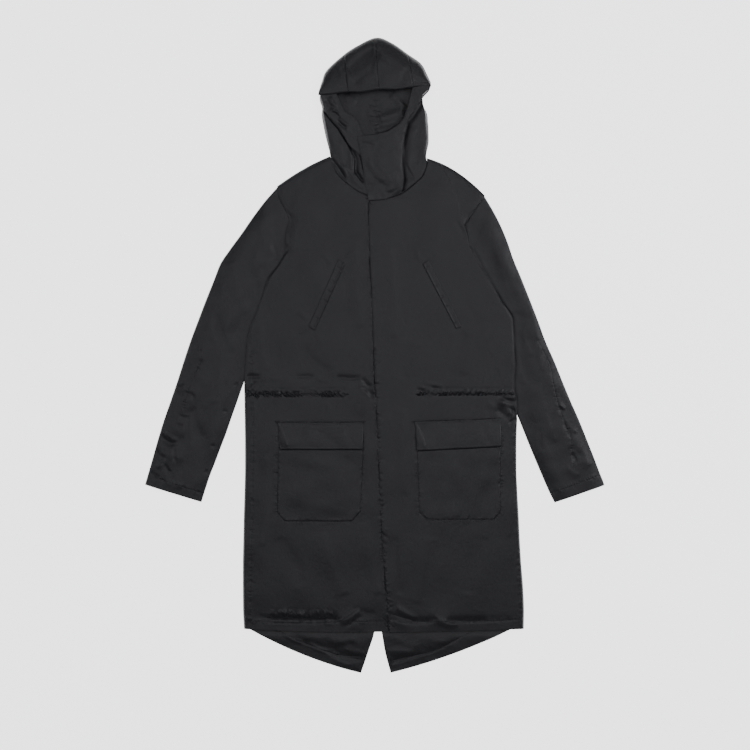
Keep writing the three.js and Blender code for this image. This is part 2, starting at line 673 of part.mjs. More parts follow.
// Underside of the collar: on the hood back at the outline, climbing towards the brim
const collarOutline = {
  right: table(['y', 'x'], [[557, -117.5], [544, -118.5], [522, -111], [507, -112], [458, -103], [421, -94],
    [413, -93.5], [384, -81], [360, -57], [337, -17]]),
  left: table(['y', 'x'], [[573, 117], [563, 117], [546, 100], [528, 101], [502, 109], [458, 113], [418, 107.5],
    [405, 109], [380, 101], [357, 78], [339.5, 55]]),
};

function insideOutline(x, y) {
  const half = x < 5 ? 'right' : 'left';
  return sideOf[half] * (readTable(collarOutline[half], 'y', 'x', y) - x);
}

function collarUnderside(x, y) {
  const climb = collarRise * soft((y - collarLow) / (collarHigh - collarLow));
  const rolled = y > neckTop ? soft(insideOutline(x, y) / collarRoll + 0.12) : 1;
  return bodyFloor + (collarFoot + climb) * rolled;
}

// A layer on the collar stands off more where the collar rolls down
function layerOnRoll(x, y) {
  const extra = 2.6;
  return extra * (1 - soft(insideOutline(x, y) / (1.7 * collarRoll)));
}

// A collar piece from rows of two edges, laid a number of layers above the collar's own underside
function collarSheet(name, rows, across, heightAbove) {
  const points = rows.map((section) => {
    const width = sectionWidth(section);
    const even = Array.from({ length: across - 1 }, (unused, place) => (place + 1) / across);
    const fine = [0.25, 0.6].map((part) => 1 - collarRoll * part / width);
    return tidyShares([...even, ...fine], width).map((share) => {
      const x = mix(section.innerX, section.outerX, share);
      const y = mix(section.innerY, section.outerY, share) + (section.bow ?? 0) * 4 * share * (1 - share);
      return new THREE.Vector3(x, y, collarUnderside(x, y) + heightAbove(x, y, share) + wall);
    });
  });
  addPiece(name, sheetFrom(points));
}

const collarSideRight = table(['innerX', 'innerY', 'outerX', 'outerY'], [
  [-104, 515, -110.3, 520.5], [-90, 505, -111.7, 507], [-70, 482, -108, 482], [-55, 458, -103, 458],
  [-42, 437, -97.8, 438], [-33, 420, -93.9, 422], [-28, 400, -92.9, 413], [-22, 380, -80, 384.8],
  [-15, 362, -56.3, 361], [-10, 350, -37.4, 347.4], [-9, 341, -17.5, 338.2],
]);

const collarFacingRight = table(['innerX', 'innerY', 'outerX', 'outerY'], [
  [-84, 560, -110, 554], [-79, 545, -116, 540], [-70, 525, -110.6, 521.5], [-62, 511, -92.4, 497],
  [-46, 502, -75.6, 478], [-34, 484, -61, 452.6], [-26, 463, -50.4, 436.8], [-18, 445, -38, 426],
  [-10, 432, -28, 417],
]);

const collarSideLeft = table(['innerX', 'innerY', 'outerX', 'outerY'], [
  [90, 530, 99.6, 538], [82, 521, 100.8, 528], [64, 498, 109.2, 502], [54, 473, 112.3, 478],
  [50, 448, 112.8, 452], [46, 418, 107.2, 418.3], [48, 394, 108.2, 405], [50, 372, 100.2, 380.4],
  [48, 356, 77.4, 357.8], [47, 347, 60, 345],
]);

const chinGuardLeft = table(['innerX', 'innerY', 'outerX', 'outerY', 'bow'], [
  [-14, 327, 54.6, 341.4, -4], [-17.2, 346, 57, 354, 0], [-22, 371.7, 59.6, 369, 0], [-26.7, 405, 56, 400, 0],
  [-32.6, 432.6, 57.5, 430, 0], [-37, 460, 60, 464, 0], [4, 464.5, 63.5, 478, 0], [29.4, 474.6, 67, 489, 0],
  [45.6, 485, 73, 501, 0], [58.8, 498.5, 82, 515, 0], [67.2, 520, 93, 530, 0], [72.7, 541.8, 101, 545, 0],
  [78, 561, 111, 558, 0], [80, 573, 112.5, 568, 0],
]);

// Pieces that lie on a front: its own upper points, moved out
function onFront(half, x, y, above) {
  return new THREE.Vector3(x, y, bodyUnderside(half, x, y) + wall + above + wall);
}

// A four-sided piece on a front, from its corners, with a number of points each way
function patchOnFront(name, half, corners, across, down, heightAbove) {
  const [topIn, topOut, lowIn, lowOut] = corners;
  const rows = [];
  for (let row = 0; row <= down; row += 1) {
    const line = [];
    for (let place = 0; place <= across; place += 1) {
      const fall = row / down;
      const share = place / across;
      const x = mix(mix(topIn[0], topOut[0], share), mix(lowIn[0], lowOut[0], share), fall);
      const y = mix(mix(topIn[1], topOut[1], share), mix(lowIn[1], lowOut[1], share), fall);
      line.push(onFront(half, x, y, heightAbove(share, fall)));
    }
    rows.push(line);
  }
  addPiece(name, sheetFrom(rows));
}

// Patch pockets, as rows that step in at the cut-off lower corners
const pocketRows = {
  right: table(['y', 'innerX', 'outerX'], [
    [-153, -24.8, -202], [-190, -25, -202.6], [-235, -26, -203.5], [-285, -29, -204.6],
    [-326, -31.2, -205], [-336, -39, -199], [-346.5, -48.3, -188.6],
  ]),
  left: table(['y', 'innerX', 'outerX'], [
    [-152, 87.6, 262.6], [-190, 88.2, 263], [-235, 89.5, 263.2], [-285, 91.6, 263.4],
    [-325, 93, 263.4], [-334, 101, 256], [-343.5, 110.3, 248.2],
  ]),
};

function makePocket(half) {
  const across = 6;
  const sections = pocketRows[half];
  const rows = sections.map((section, row) => {
    const line = [];
    for (let place = 0; place <= across; place += 1) {
      const share = place / across;
      const x = mix(section.innerX, section.outerX, share);
      const puff = pocketPuff * Math.sin(Math.PI * share) * Math.sin(Math.PI * row / (sections.length - 1));
      line.push(onFront(half, x, section.y, layerGap + puff));
    }
    return line;
  });
  addPiece(`pocket_${half}`, sheetFrom(rows));
}

const flapCorners = {
  right: [[-25.6, -139.4], [-204.5, -139.4], [-24.8, -195.7], [-198.7, -195.7]],
  left: [[82.9, -138.2], [263.3, -131.5], [88.6, -198.5], [265.2, -189.2]],
};
const weltCorners = {
  right: [[-76.9, 203.7], [-62.2, 193.2], [-140.7, 60.9], [-126, 52.5]],
  left: [[98.7, 193.2], [111.3, 201.6], [169.7, 56.7], [182.1, 60.3]],
};

for (const half of ['right', 'left']) {
  makeBack(half);
  makeSleeve(half);
  makeFront(half);
  makePocket(half);
  const flapLift = (share, fall) => layerGap + (wall + layerGap + pocketPuff) * soft(fall * 4);
  patchOnFront(`pocket_flap_${half}`, half, flapCorners[half], 6, 5, flapLift);
  patchOnFront(`chest_welt_${half}`, half, weltCorners[half], 1, 7, () => layerGap);
}

const seamHalf = 0.18;            // half the gap between two hood panels
makeHoodPanel('hood_side_right', 0, seamRightPlace, 6, 0, -seamHalf);
makeHoodPanel('hood_crown_right', seamRightPlace, centrePlace, 5, seamHalf, -seamHalf);
makeHoodPanel('hood_crown_left', centrePlace, seamLeftPlace, 5, seamHalf, -seamHalf);
makeHoodPanel('hood_side_left', seamLeftPlace, hoodRows.length - 1, 6, seamHalf, 0);

collarSheet('collar_side_right', collarSideRight, 5, () => 0);
collarSheet('collar_side_left', collarSideLeft, 5, () => 0);
const facingRise = wall + layerGap;
collarSheet('collar_facing_right', collarFacingRight, 4, (x, y) => facingRise + layerOnRoll(x, y));
// The chin guard lies on the left collar side, on the facing at its closing edge, and bulges between
const onFacing = wall + layerGap + 0.4;
const chinRise = (x, y, share) => facingRise + layerOnRoll(x, y) + onFacing * soft((2 - x) / 14)
  + chinBulge * Math.sin(Math.PI * share) * soft((520 - y) / 80);
collarSheet('chin_guard_left', chinGuardLeft, 6, chinRise);

export default parka;
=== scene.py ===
import bpy
import numpy as np
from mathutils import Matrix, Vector


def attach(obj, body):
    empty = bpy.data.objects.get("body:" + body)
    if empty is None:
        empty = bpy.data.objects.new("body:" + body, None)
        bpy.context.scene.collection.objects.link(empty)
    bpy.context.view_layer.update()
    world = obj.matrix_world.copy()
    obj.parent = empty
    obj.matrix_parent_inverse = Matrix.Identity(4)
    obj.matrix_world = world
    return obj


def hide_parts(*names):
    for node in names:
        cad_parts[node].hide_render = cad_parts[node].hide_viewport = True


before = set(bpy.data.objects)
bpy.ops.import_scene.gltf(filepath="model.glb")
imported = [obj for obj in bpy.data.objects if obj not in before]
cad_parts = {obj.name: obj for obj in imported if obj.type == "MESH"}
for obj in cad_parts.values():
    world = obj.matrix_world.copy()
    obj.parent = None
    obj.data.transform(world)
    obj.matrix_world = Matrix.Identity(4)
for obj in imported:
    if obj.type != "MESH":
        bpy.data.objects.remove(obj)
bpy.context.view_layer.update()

# Sizes and layer heights of the cloth, as in the solids
lay = {
    # every piece: the wall and gap between layers, the cloth's thickness here, and a sheet's rim
    "wall": 1.2, "layerGap": 0.5, "cloth": 0.7, "thinCloth": 0.6, "rim": 0.3,
    # body: height of the fronts' underside, its rolled edges, and its climb on to the sleeves
    "bodyFloor": 1.5, "bodyLoft": 4.2, "edgeRoll": 6, "armholeRoll": 24, "shoulderRoll": 8,
    "climbRise": 2.7, "climbMore": 1.7, "foldSpread": 14, "foldStart": 290, "underarm": 107,
    # closing edge: how far the right front reaches under the left one, which rises over it
    "underlapReach": 60, "underlapSlope": 70, "overlapRise": 1.2,
    # sleeves and pockets
    "sleeveEdge": 3.2, "sleeveLoft": 4.6, "sleeveRoll": 34, "pocketPuff": 0.9,
    # hood and collar: brim height, Y of the neck seam, and the collar's climb from low to high
    "hoodBrim": 20, "neckTop": 421, "collarFoot": 4.2, "collarRise": 7.5, "collarLow": 346,
    "collarHigh": 545, "collarRoll": 9, "brimRoll": 1.2, "rollExtra": 2.6, "chinBulge": 3,
}
millimetre = 0.001
sideOf = {"right": -1, "left": 1}


def clamp(value):
    # value held between 0 and 1
    return np.clip(value, 0.0, 1.0)


def mix(start, end, share):
    # start plus the share of the way to end
    return start + (end - start) * share


def soft(value):
    # 3s^2 - 2s^3 of the clamped value: level at both ends
    share = clamp(value)
    return share * share * (3 - 2 * share)


def quarter(value):
    # sine of a quarter turn times the clamped value: steep at first, then level
    return np.sin(clamp(value) * np.pi / 2)


def bell(value):
    # e to minus the square
    return np.exp(-value * value)


def table(columns, rows):
    # rows of numbers as one array for each named column
    data = np.array(rows, float)
    return {name: data[:, place] for place, name in enumerate(columns.split())}


def readTable(rows, by, column, value):
    # straight lines between rows, where the column named by falls from row to row
    return np.interp(-np.asarray(value, float), -rows[by], rows[column])


def smoothRead(knots, values, at):
    # cubic through the knots with the weighted harmonic mean of both slopes, so it never overshoots
    step = np.diff(knots)
    slope = np.diff(values) / step
    tangent = np.zeros(len(values))
    same = slope[:-1] * slope[1:] > 0
    first = np.where(same, slope[:-1], 1.0)
    second = np.where(same, slope[1:], 1.0)
    before = 2 * step[1:] + step[:-1]
    after = step[1:] + 2 * step[:-1]
    tangent[1:-1] = np.where(same, (before + after) / (before / first + after / second), 0)
    tangent[0] = slope[0]
    tangent[-1] = slope[-1]
    place = np.clip(np.searchsorted(knots, at, side="right") - 1, 0, len(knots) - 2)
    width = step[place]
    share = (at - knots[place]) / width
    rest = 1 - share
    return (
        values[place] * (1 + 2 * share) * rest**2
        + values[place + 1] * share**2 * (3 - 2 * share)
        + width * tangent[place] * share * rest**2
        - width * tangent[place + 1] * share**2 * rest
    )


def spacing(length, coarse, zones, count):
    # places from 0 to length whose density is 1 / coarse, and 1 / fine inside each (from, to, fine) zone
    fine = np.linspace(0, length, 4001)
    density = np.full(fine.shape, 1.0 / coarse)
    for start, end, step in zones:
        inside = soft((fine - start) / 8 + 0.5) * soft((end - fine) / 8 + 0.5)
        density = np.maximum(density, inside / step)
    total = np.concatenate([[0], np.cumsum((density[1:] + density[:-1]) / 2 * np.diff(fine))])
    return np.interp(np.linspace(0, total[-1], count), total, fine)


def pathPlace(path, x, y):
    # nearest point of a broken line: distance along it, distance to it, and which side (left is 1)
    points = np.array(path, float)
    best = np.full(x.shape, 1e9)
    along = np.zeros(x.shape)
    side = np.ones(x.shape)
    run = 0.0
    for start, end in zip(points[:-1], points[1:]):
        step = end - start
        length = np.hypot(step[0], step[1])
        share = clamp(((x - start[0]) * step[0] + (y - start[1]) * step[1]) / length**2)
        awayX = x - start[0] - share * step[0]
        awayY = y - start[1] - share * step[1]
        distance = np.hypot(awayX, awayY)
        nearer = distance < best
        best = np.where(nearer, distance, best)
        along = np.where(nearer, run + share * length, along)
        side = np.where(nearer, np.sign(step[0] * awayY - step[1] * awayX + 1e-9), side)
        run += length
    return along, best, side, run


# What a seam has where its own entry says nothing: a groove and its width, the pitch of its puckers,
# and for the material the depth of its line, and the height, length, reach and slant of its fine ridges
usualSeam = {"groove": 0, "width": 1.6, "pitch": 0, "line": 0.3, "ticks": 0.3, "tick": 5.5, "tickReach": 6.0,
             "slant": 0}
ridgeEnd = 1.6  # ridges and line stop at this share of the reach


def seamHeight(x, y, seam):
    # a groove, a bell across the seam, plus puckers: bells along it that fade and lean away from it
    seam = {**usualSeam, **seam}
    along, distance, side, length = pathPlace(seam["path"], x, y)
    height = -seam["groove"] * bell(distance / seam["width"])
    if seam["pitch"]:
        dice = np.random.default_rng(seam["seed"])
        count = max(1, int(length / seam["pitch"]))
        centres = (np.arange(count) + dice.uniform(0.1, 0.9, count)) * length / count
        reaches = seam["reach"] * dice.uniform(0.35, 1.5, count)
        depths = seam["pucker"] * dice.uniform(0.3, 1.25, count)
        signs = np.where(dice.uniform(0, 1, count) < 0.62, -1.0, 1.0)
        leans = dice.uniform(-0.7, 0.7, count)
        widths = dice.uniform(1.7, 3.6, count)
        for place in range(count):
            offset = along - centres[place] - leans[place] * distance
            near = (np.abs(offset) < 14) & (distance < 3 * reaches[place])
            shape = bell(offset[near] / widths[place]) * bell(distance[near] / reaches[place])
            height[near] += signs[place] * depths[place] * shape
    return height


def foldHeight(folds, x, y):
    # each fold: its height times a bell across a straight line, faded at both ends
    height = np.zeros(np.broadcast(x, y).shape)
    for place in range(len(folds["startX"])):
        fold = {name: values[place] for name, values in folds.items()}
        alongX = fold["endX"] - fold["startX"]
        alongY = fold["endY"] - fold["startY"]
        length = np.hypot(alongX, alongY)
        along = ((x - fold["startX"]) * alongX + (y - fold["startY"]) * alongY) / length
        across = ((x - fold["startX"]) * alongY - (y - fold["startY"]) * alongX) / length
        end = fold["spread"]
        fade = soft((along + end) / (2 * end)) * soft((length - along + end) / (2 * end))
        height += fold["height"] * fade * bell(across / fold["spread"])
    return height


creaseColumns = "startX startY endX endY bow wide narrow height"


def creaseHeight(creases, x, y):
    # as a fold, but along a bowed line and sharper on one side: a bell with one width left of the line
    # and another right of it, so a crease has one broad and one steep flank
    height = np.zeros(np.broadcast(x, y).shape)
    for place in range(len(creases["startX"])):
        crease = {name: values[place] for name, values in creases.items()}
        alongX = crease["endX"] - crease["startX"]
        alongY = crease["endY"] - crease["startY"]
        length = np.hypot(alongX, alongY)
        along = ((x - crease["startX"]) * alongX + (y - crease["startY"]) * alongY) / length
        across = ((x - crease["startX"]) * alongY - (y - crease["startY"]) * alongX) / length
        share = clamp(along / length)
        across = across - crease["bow"] * 4 * share * (1 - share)
        reach = np.where(across > 0, crease["wide"], crease["narrow"])
        end = min(length * 0.35, 12)
        fade = soft((along + end * 0.3) / end) * soft((length - along + end * 0.3) / end)
        height += crease["height"] * fade * bell(across / reach)
    return height


def seamMap(x, y, seams):
    # for the nearest seam: ridge lengths along it, signed distance over its reach, ridge height; and line depth
    nearest = np.full(x.shape, 1e9)
    result = np.zeros(x.shape + (3,))
    line = np.zeros(x.shape)
    for place, entry in enumerate(seams):
        seam = {**usualSeam, **entry}
        along, distance, side, length = pathPlace(seam["path"], x, y)
        away = distance / seam["tickReach"]
        steps = (along + seam["slant"] * side * distance) / seam["tick"] + 40 * place
        strength = np.where(away < ridgeEnd, seam["ticks"], 0)
        chosen = away < nearest
        nearest = np.where(chosen, away, nearest)
        result[chosen] = np.stack([steps, side * away, strength], axis=-1)[chosen]
        line[chosen] = np.where(away < ridgeEnd, seam["line"], 0)[chosen]
    return result, line


def swell(x, y, seed, longest, size):
    # sum of long waves in seeded directions, each a sine along its own direction
    dice = np.random.default_rng(seed)
    height = np.zeros(np.broadcast(x, y).shape)
    for wave in range(9):
        angle = dice.uniform(0, np.pi)
        length = longest * dice.uniform(0.35, 1.0)
        phase = dice.uniform(0, 2 * np.pi)
        bend = 0.6 * np.sin((x * np.sin(angle) - y * np.cos(angle)) / (0.6 * longest) + phase)
        height += np.sin(2 * np.pi * (x * np.cos(angle) + y * np.sin(angle)) / length + phase + bend) * length
    return size * height / (longest * 3)


# Materials. The cloth is a close plain weave of fine synthetic yarn, dyed a cool charcoal black:
# the eye sees a soft satin gleam on every slope, a faint bluish cast and no shine spots.


def linear(code):
    # a colour written as sRGB hex, turned linear
    values = np.array([int(code[place:place + 2], 16) for place in (1, 3, 5)]) / 255
    return (*np.where(values <= 0.04045, values / 12.92, ((values + 0.055) / 1.055) ** 2.4), 1.0)


def addNode(tree, kind, settings=None, links=None):
    # one node with its settings, joined to (node, output) pairs by input name or number
    made = tree.nodes.new(kind)
    for name, value in (settings or {}).items():
        if isinstance(name, int) or name in made.inputs.keys():
            made.inputs[name].default_value = value
        else:
            setattr(made, name, value)
    for name, (source, output) in (links or {}).items():
        tree.links.new(source.outputs[output], made.inputs[name])
    return made


def makeCloth(name, values):
    # two close colours mixed by broad clouds; yarn bands each way and fine crumple as bump.
    # a noise has about its scale in spots to a metre: 14, 75 and 900 give spots of 70, 13 and 1 mm
    material = bpy.data.materials.new(name)
    material.use_nodes = True
    tree = material.node_tree
    tree.nodes.clear()
    place = addNode(tree, "ShaderNodeTexCoord")
    clouds = addNode(tree, "ShaderNodeTexNoise", {"Scale": 14.0, "Detail": 3.0, "Roughness": 0.55},
                     {"Vector": (place, "Object")})
    shade = addNode(tree, "ShaderNodeMix",
                    {"data_type": "RGBA", 6: linear(values["dark"]), 7: linear(values["light"])},
                    {0: (clouds, "Fac")})
    flecks = addNode(tree, "ShaderNodeTexNoise", {"Scale": 900.0, "Detail": 2.0, "Roughness": 0.6},
                     {"Vector": (place, "Object")})
    span = addNode(tree, "ShaderNodeMapRange",
                   {"From Min": 0.3, "From Max": 0.7,
                    "To Min": values["roughness"] - 0.05, "To Max": values["roughness"] + 0.05},
                   {"Value": (flecks, "Fac")})
    # yarns lie 0.35 mm apart, so a wave of scale 1 / (20 * 0.35 mm / 2 pi) bands once a yarn
    yarn = 2 * np.pi / (20 * values["yarn"] * millimetre)
    warp = addNode(tree, "ShaderNodeTexWave",
                   {"bands_direction": "X", "Scale": yarn, "Distortion": 0.6, "Detail": 1.0},
                   {"Vector": (place, "Object")})
    weft = addNode(tree, "ShaderNodeTexWave",
                   {"bands_direction": "Y", "Scale": yarn, "Distortion": 0.6, "Detail": 1.0},
                   {"Vector": (place, "Object")})
    weave = addNode(tree, "ShaderNodeMath", {"operation": "ADD"}, {0: (warp, "Fac"), 1: (weft, "Fac")})
    weaveBump = addNode(tree, "ShaderNodeBump", {"Strength": values["weave"], "Distance": 0.00004},
                        {"Height": (weave, "Value")})
    crumple = addNode(tree, "ShaderNodeTexNoise",
                      {"Scale": 75.0, "Detail": 4.0, "Roughness": 0.55, "Distortion": 0.5},
                      {"Vector": (place, "Object")})
    crumpleBump = addNode(tree, "ShaderNodeBump",
                          {"Strength": values["crumple"], "Distance": 0.0012},
                          {"Height": (crumple, "Fac"), "Normal": (weaveBump, "Normal")})
    # fine puckers: short ridges across the nearest seam, read from the piece's own map of its seams
    seams = addNode(tree, "ShaderNodeAttribute", {"attribute_name": "seamMap"})
    parts = addNode(tree, "ShaderNodeSeparateXYZ", links={"Vector": (seams, "Vector")})
    drawn = addNode(tree, "ShaderNodeMapping", {"Scale": (1.0, 0.3, 0.0)}, {"Vector": (seams, "Vector")})
    ridges = addNode(tree, "ShaderNodeTexNoise",
                     {"Scale": 1.0, "Detail": 1.5, "Roughness": 0.5, "Distortion": 0.3},
                     {"Vector": (drawn, "Vector")})
    ridge = addNode(tree, "ShaderNodeMapRange",
                    {"interpolation_type": "SMOOTHSTEP", "From Min": 0.38, "From Max": 0.6},
                    {"Value": (ridges, "Fac")})
    away = addNode(tree, "ShaderNodeMath", {"operation": "ABSOLUTE"}, {0: (parts, "Y")})
    near = addNode(tree, "ShaderNodeMapRange",
                   {"interpolation_type": "SMOOTHSTEP", "From Min": 0.1, "From Max": 1.5,
                    "To Min": 1.0, "To Max": 0.0}, {"Value": (away, "Value")})
    slow = addNode(tree, "ShaderNodeMapping", {"Scale": (0.16, 0.0, 0.0)}, {"Vector": (seams, "Vector")})
    groups = addNode(tree, "ShaderNodeTexNoise", {"Scale": 1.0, "Detail": 1.0}, {"Vector": (slow, "Vector")})
    group = addNode(tree, "ShaderNodeMapRange",
                    {"interpolation_type": "SMOOTHSTEP", "From Min": 0.36, "From Max": 0.62,
                     "To Min": 0.3, "To Max": 1.4}, {"Value": (groups, "Fac")})
    times = {"operation": "MULTIPLY"}
    nearby = addNode(tree, "ShaderNodeMath", times, {0: (near, "Result"), 1: (group, "Result")})
    strong = addNode(tree, "ShaderNodeMath", times, {0: (nearby, "Value"), 1: (parts, "Z")})
    relief = addNode(tree, "ShaderNodeMath", times, {0: (strong, "Value"), 1: (ridge, "Result")})
    # the seam itself: a fine groove of uneven depth
    seam = addNode(tree, "ShaderNodeMapRange",
                   {"interpolation_type": "SMOOTHSTEP", "From Min": 0.0, "From Max": 0.2,
                    "To Min": 1.0, "To Max": 0.0}, {"Value": (away, "Value")})
    lines = addNode(tree, "ShaderNodeAttribute", {"attribute_name": "seamLine"})
    uneven = addNode(tree, "ShaderNodeMath", times, {0: (seam, "Result"), 1: (group, "Result")})
    groove = addNode(tree, "ShaderNodeMath", times, {0: (uneven, "Value"), 1: (lines, "Fac")})
    height = addNode(tree, "ShaderNodeMath", {"operation": "SUBTRACT"},
                     {0: (relief, "Value"), 1: (groove, "Value")})
    puckers = addNode(tree, "ShaderNodeBump", {"Strength": 1.0, "Distance": millimetre},
                      {"Height": (height, "Value"), "Normal": (crumpleBump, "Normal")})
    shader = addNode(tree, "ShaderNodeBsdfPrincipled",
                     {"Metallic": 0.0, "IOR": values["ior"], "Specular IOR Level": values["specular"],
                      "Sheen Weight": values["sheen"], "Sheen Roughness": 0.4,
                      "Sheen Tint": (0.75, 0.8, 1.0, 1.0)},
                     {"Base Color": (shade, 2), "Roughness": (span, "Result"),
                      "Normal": (puckers, "Normal")})
    addNode(tree, "ShaderNodeOutputMaterial", links={"Surface": (shader, "BSDF")})
    return material


clothLooks = {
    "upper": {"dark": "#242427", "light": "#28282c", "roughness": 0.42, "yarn": 0.35, "weave": 0.35,
              "crumple": 0.35, "ior": 1.5, "specular": 0.5, "sheen": 0.12},
    # the same cloth a little darker, as painted shade: used on the backs and their tail
    "shaded": {"dark": "#212124", "light": "#262629", "roughness": 0.42, "yarn": 0.35, "weave": 0.35,
               "crumple": 0.5, "ior": 1.5, "specular": 0.5, "sheen": 0.1},
}
shellCloth = makeCloth("charcoalTaffeta", clothLooks["upper"])
paintedShadeBackCloth = makeCloth("charcoalTaffetaShaded", clothLooks["shaded"])
print("cloth ready")


def gridMesh(name, points, ring=False, upward=True):
    # quads between neighbours of a grid of points, turned so that they face up, or out of a ring
    rows, columns = points.shape[:2]
    index = np.arange(rows * columns).reshape(rows, columns)
    if ring:
        index = np.concatenate([index, index[:, :1]], axis=1)
    quads = np.stack([index[:-1, :-1], index[:-1, 1:], index[1:, 1:], index[1:, :-1]], axis=-1).reshape(-1, 4)
    flat = points.reshape(-1, 3)
    normal = np.cross(flat[quads[:, 2]] - flat[quads[:, 0]], flat[quads[:, 3]] - flat[quads[:, 1]])
    if ring:
        centre = points.mean(axis=1)
        outward = flat[quads[:, 0]] - np.repeat(centre[:-1], columns, axis=0)
        facing = (normal * outward).sum()
    else:
        facing = normal[:, 2].sum() * (1 if upward else -1)
    if facing < 0:
        quads = quads[:, ::-1]
    mesh = bpy.data.meshes.new(name)
    mesh.vertices.add(len(flat))
    mesh.vertices.foreach_set("co", (flat * millimetre).astype(np.float32).ravel())
    mesh.loops.add(quads.size)
    mesh.loops.foreach_set("vertex_index", np.ascontiguousarray(quads, dtype=np.int32).ravel())
    mesh.polygons.add(len(quads))
    mesh.polygons.foreach_set("loop_start", np.arange(0, quads.size, 4, dtype=np.int32))
    mesh.update(calc_edges=True)
    mesh.validate()
    mesh.shade_smooth()
    return mesh


def withRims(points):
    # two more lines of points just inside both ends, so that smooth shading stays flat up to the edge
    def line(edge, inner):
        # the edge moved toward the inner line by the rim's width, at most 0.4 of the way
        step = np.linalg.norm(inner - edge, axis=-1, keepdims=True)
        return mix(edge, inner, np.minimum(lay["rim"] / np.maximum(step, 1e-6), 0.4))[None]
    return np.concatenate([points[:1], line(points[0], points[1]), points[1:-1],
                           line(points[-1], points[-2]), points[-1:]])


def addSheet(name, points, material, ring=False, upward=True, thickness=None, seams=None):
    # one cloth piece: its outer face as a grid, thickened inward, in place of the solid of that name
    points = withRims(points)
    if not ring:
        points = withRims(points.swapaxes(0, 1)).swapaxes(0, 1)
    piece = bpy.data.objects.new(name + "_cloth", gridMesh(name + "_cloth", points, ring, upward))
    bpy.context.scene.collection.objects.link(piece)
    piece.data.materials.append(material)
    if seams:
        near, line = seamMap(points[..., 0], points[..., 1], seams)
        attributes = piece.data.attributes
        mapped = attributes.new("seamMap", "FLOAT_VECTOR", "POINT")
        mapped.data.foreach_set("vector", near.astype(np.float32).ravel())
        lined = attributes.new("seamLine", "FLOAT", "POINT")
        lined.data.foreach_set("value", line.astype(np.float32).ravel())
    shell = piece.modifiers.new("thickness", "SOLIDIFY")
    shell.thickness = (thickness or lay["cloth"]) * millimetre
    shell.offset = -1
    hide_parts(name)
    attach(piece, "root")
    across = points[1:, 1:] - points[:-1, :-1]
    over = points[1:, :-1] - points[:-1, 1:]
    spread = np.linalg.norm(np.cross(across, over), axis=-1).sum() / 2 / 1e6
    print("made", piece.name, len(piece.data.polygons), "quads,", round(float(spread), 4), "square metres")
    return piece


# Outlines and layer heights, as in the solids
armhole = {
    "right": table("y x", [
        [355, -206], [340.1, -204.5], [315.3, -193.5], [288, -181.7], [253.3, -176], [223.6, -174.5],
        [186.4, -179], [149.2, -189], [107, -218.4], [34, -243.6], [-71, -281], [-600, -470]]),
    "left": table("y x", [
        [336, 231], [322.3, 221], [299.4, 205], [274.2, 191.5], [242.1, 185], [214.6, 182.5],
        [180.3, 183.6], [145.9, 190], [107, 203.7], [34, 235.2], [-50, 268.8], [-134, 302.4], [-600, 490]]),
}
frontRows = {
    "right": table("innerX innerY outerX outerY bow", [
        [-94.5, 419, -205.4, 356, 5], [-81, 384.3, -204, 340.1, 3], [-57, 360.2, -193, 315.3, 1],
        [-38, 346.5, -187, 301, 0], [-17, 337, -181.7, 288, 0], [36, 329, -186, 270, 0],
        [37, 290, -189, 252, 0], [38, 250, -190, 221, 0], [40, 215, -203, 193, 0],
        [41, 180, -226, 163, 0], [43, 140, -236, 128, 0], [45, 95, -250, 90, 0],
        [47, 50, -266, 49, 0], [48, 12, -270.5, 12, 0], [49, -20, -272.5, -20, 0],
        [50, -44, -274, -44, 0], [52, -73, -274.4, -73, 0], [54, -108, -274, -108, 0],
        [55, -140, -273.5, -140, 0], [57, -185, -273, -185, 0], [60, -235, -273, -235, 0],
        [62, -285, -274, -285, 0], [64, -335, -275.5, -335, 0], [67, -385, -276.5, -385, 0],
        [71, -435, -277.5, -435, 0], [74, -485, -277.5, -485, 0], [77, -535, -277, -535, 0],
        [80, -577, -275, -572.5, -4]]),
    "left": table("innerX innerY outerX outerY bow", [
        [108.4, 415, 230.4, 337, 12], [109, 405, 220.5, 322.3, 7], [101, 380, 204.5, 299.4, 4],
        [78, 357, 196, 283, 2], [55, 339.5, 191.1, 274.2, 0], [20, 328, 196, 256, 0],
        [-14, 325, 202, 231, 0], [-14.5, 285, 212, 212, 0], [-13.5, 250, 220.5, 195, 0],
        [-11.5, 205, 231, 177, 0], [-9.5, 160, 241.5, 157, 0], [-7.6, 118, 264, 116, 0],
        [-6, 80, 288, 79, 0], [-4.9, 48, 290, 48, 0], [-4, 12, 292, 12, 0], [-3.1, -20, 293.2, -20, 0],
        [-2.2, -44, 292, -44, 0], [-0.6, -70, 291.5, -70, 0], [0.6, -88, 295.3, -88, 0],
        [1.5, -104, 297, -104, 0], [3.2, -140, 298, -140, 0],
        [5, -185, 297, -185, 0], [7, -235, 297, -235, 0], [9, -285, 299, -285, 0],
        [10.3, -335, 301.8, -335, 0], [13.6, -385, 304, -385, 0], [17.6, -435, 307, -435, 0],
        [21.5, -485, 311, -485, 0], [25.4, -535, 313, -535, 0], [28.1, -579.4, 312.5, -572.5, -1]]),
}
shoulder = {
    "right": table("x y", [[-94.5, 420], [-122, 405.5], [-161, 385.5], [-206, 356]]),
    "left": table("x y", [[231, 336], [183, 376], [147, 399], [108, 418]]),
}
armFold = {
    "right": {"rows": table("y x", [[346, -166], [318, -172], [288, -181]]), "rise": 0.6, "width": 16},
    "left": {"rows": table("y x", [[399, 140.7], [383, 149], [348, 165], [308, 178.5], [275, 190.6]]),
             "rise": 1, "width": 4},
}
foldColumns = "startX startY endX endY spread height"
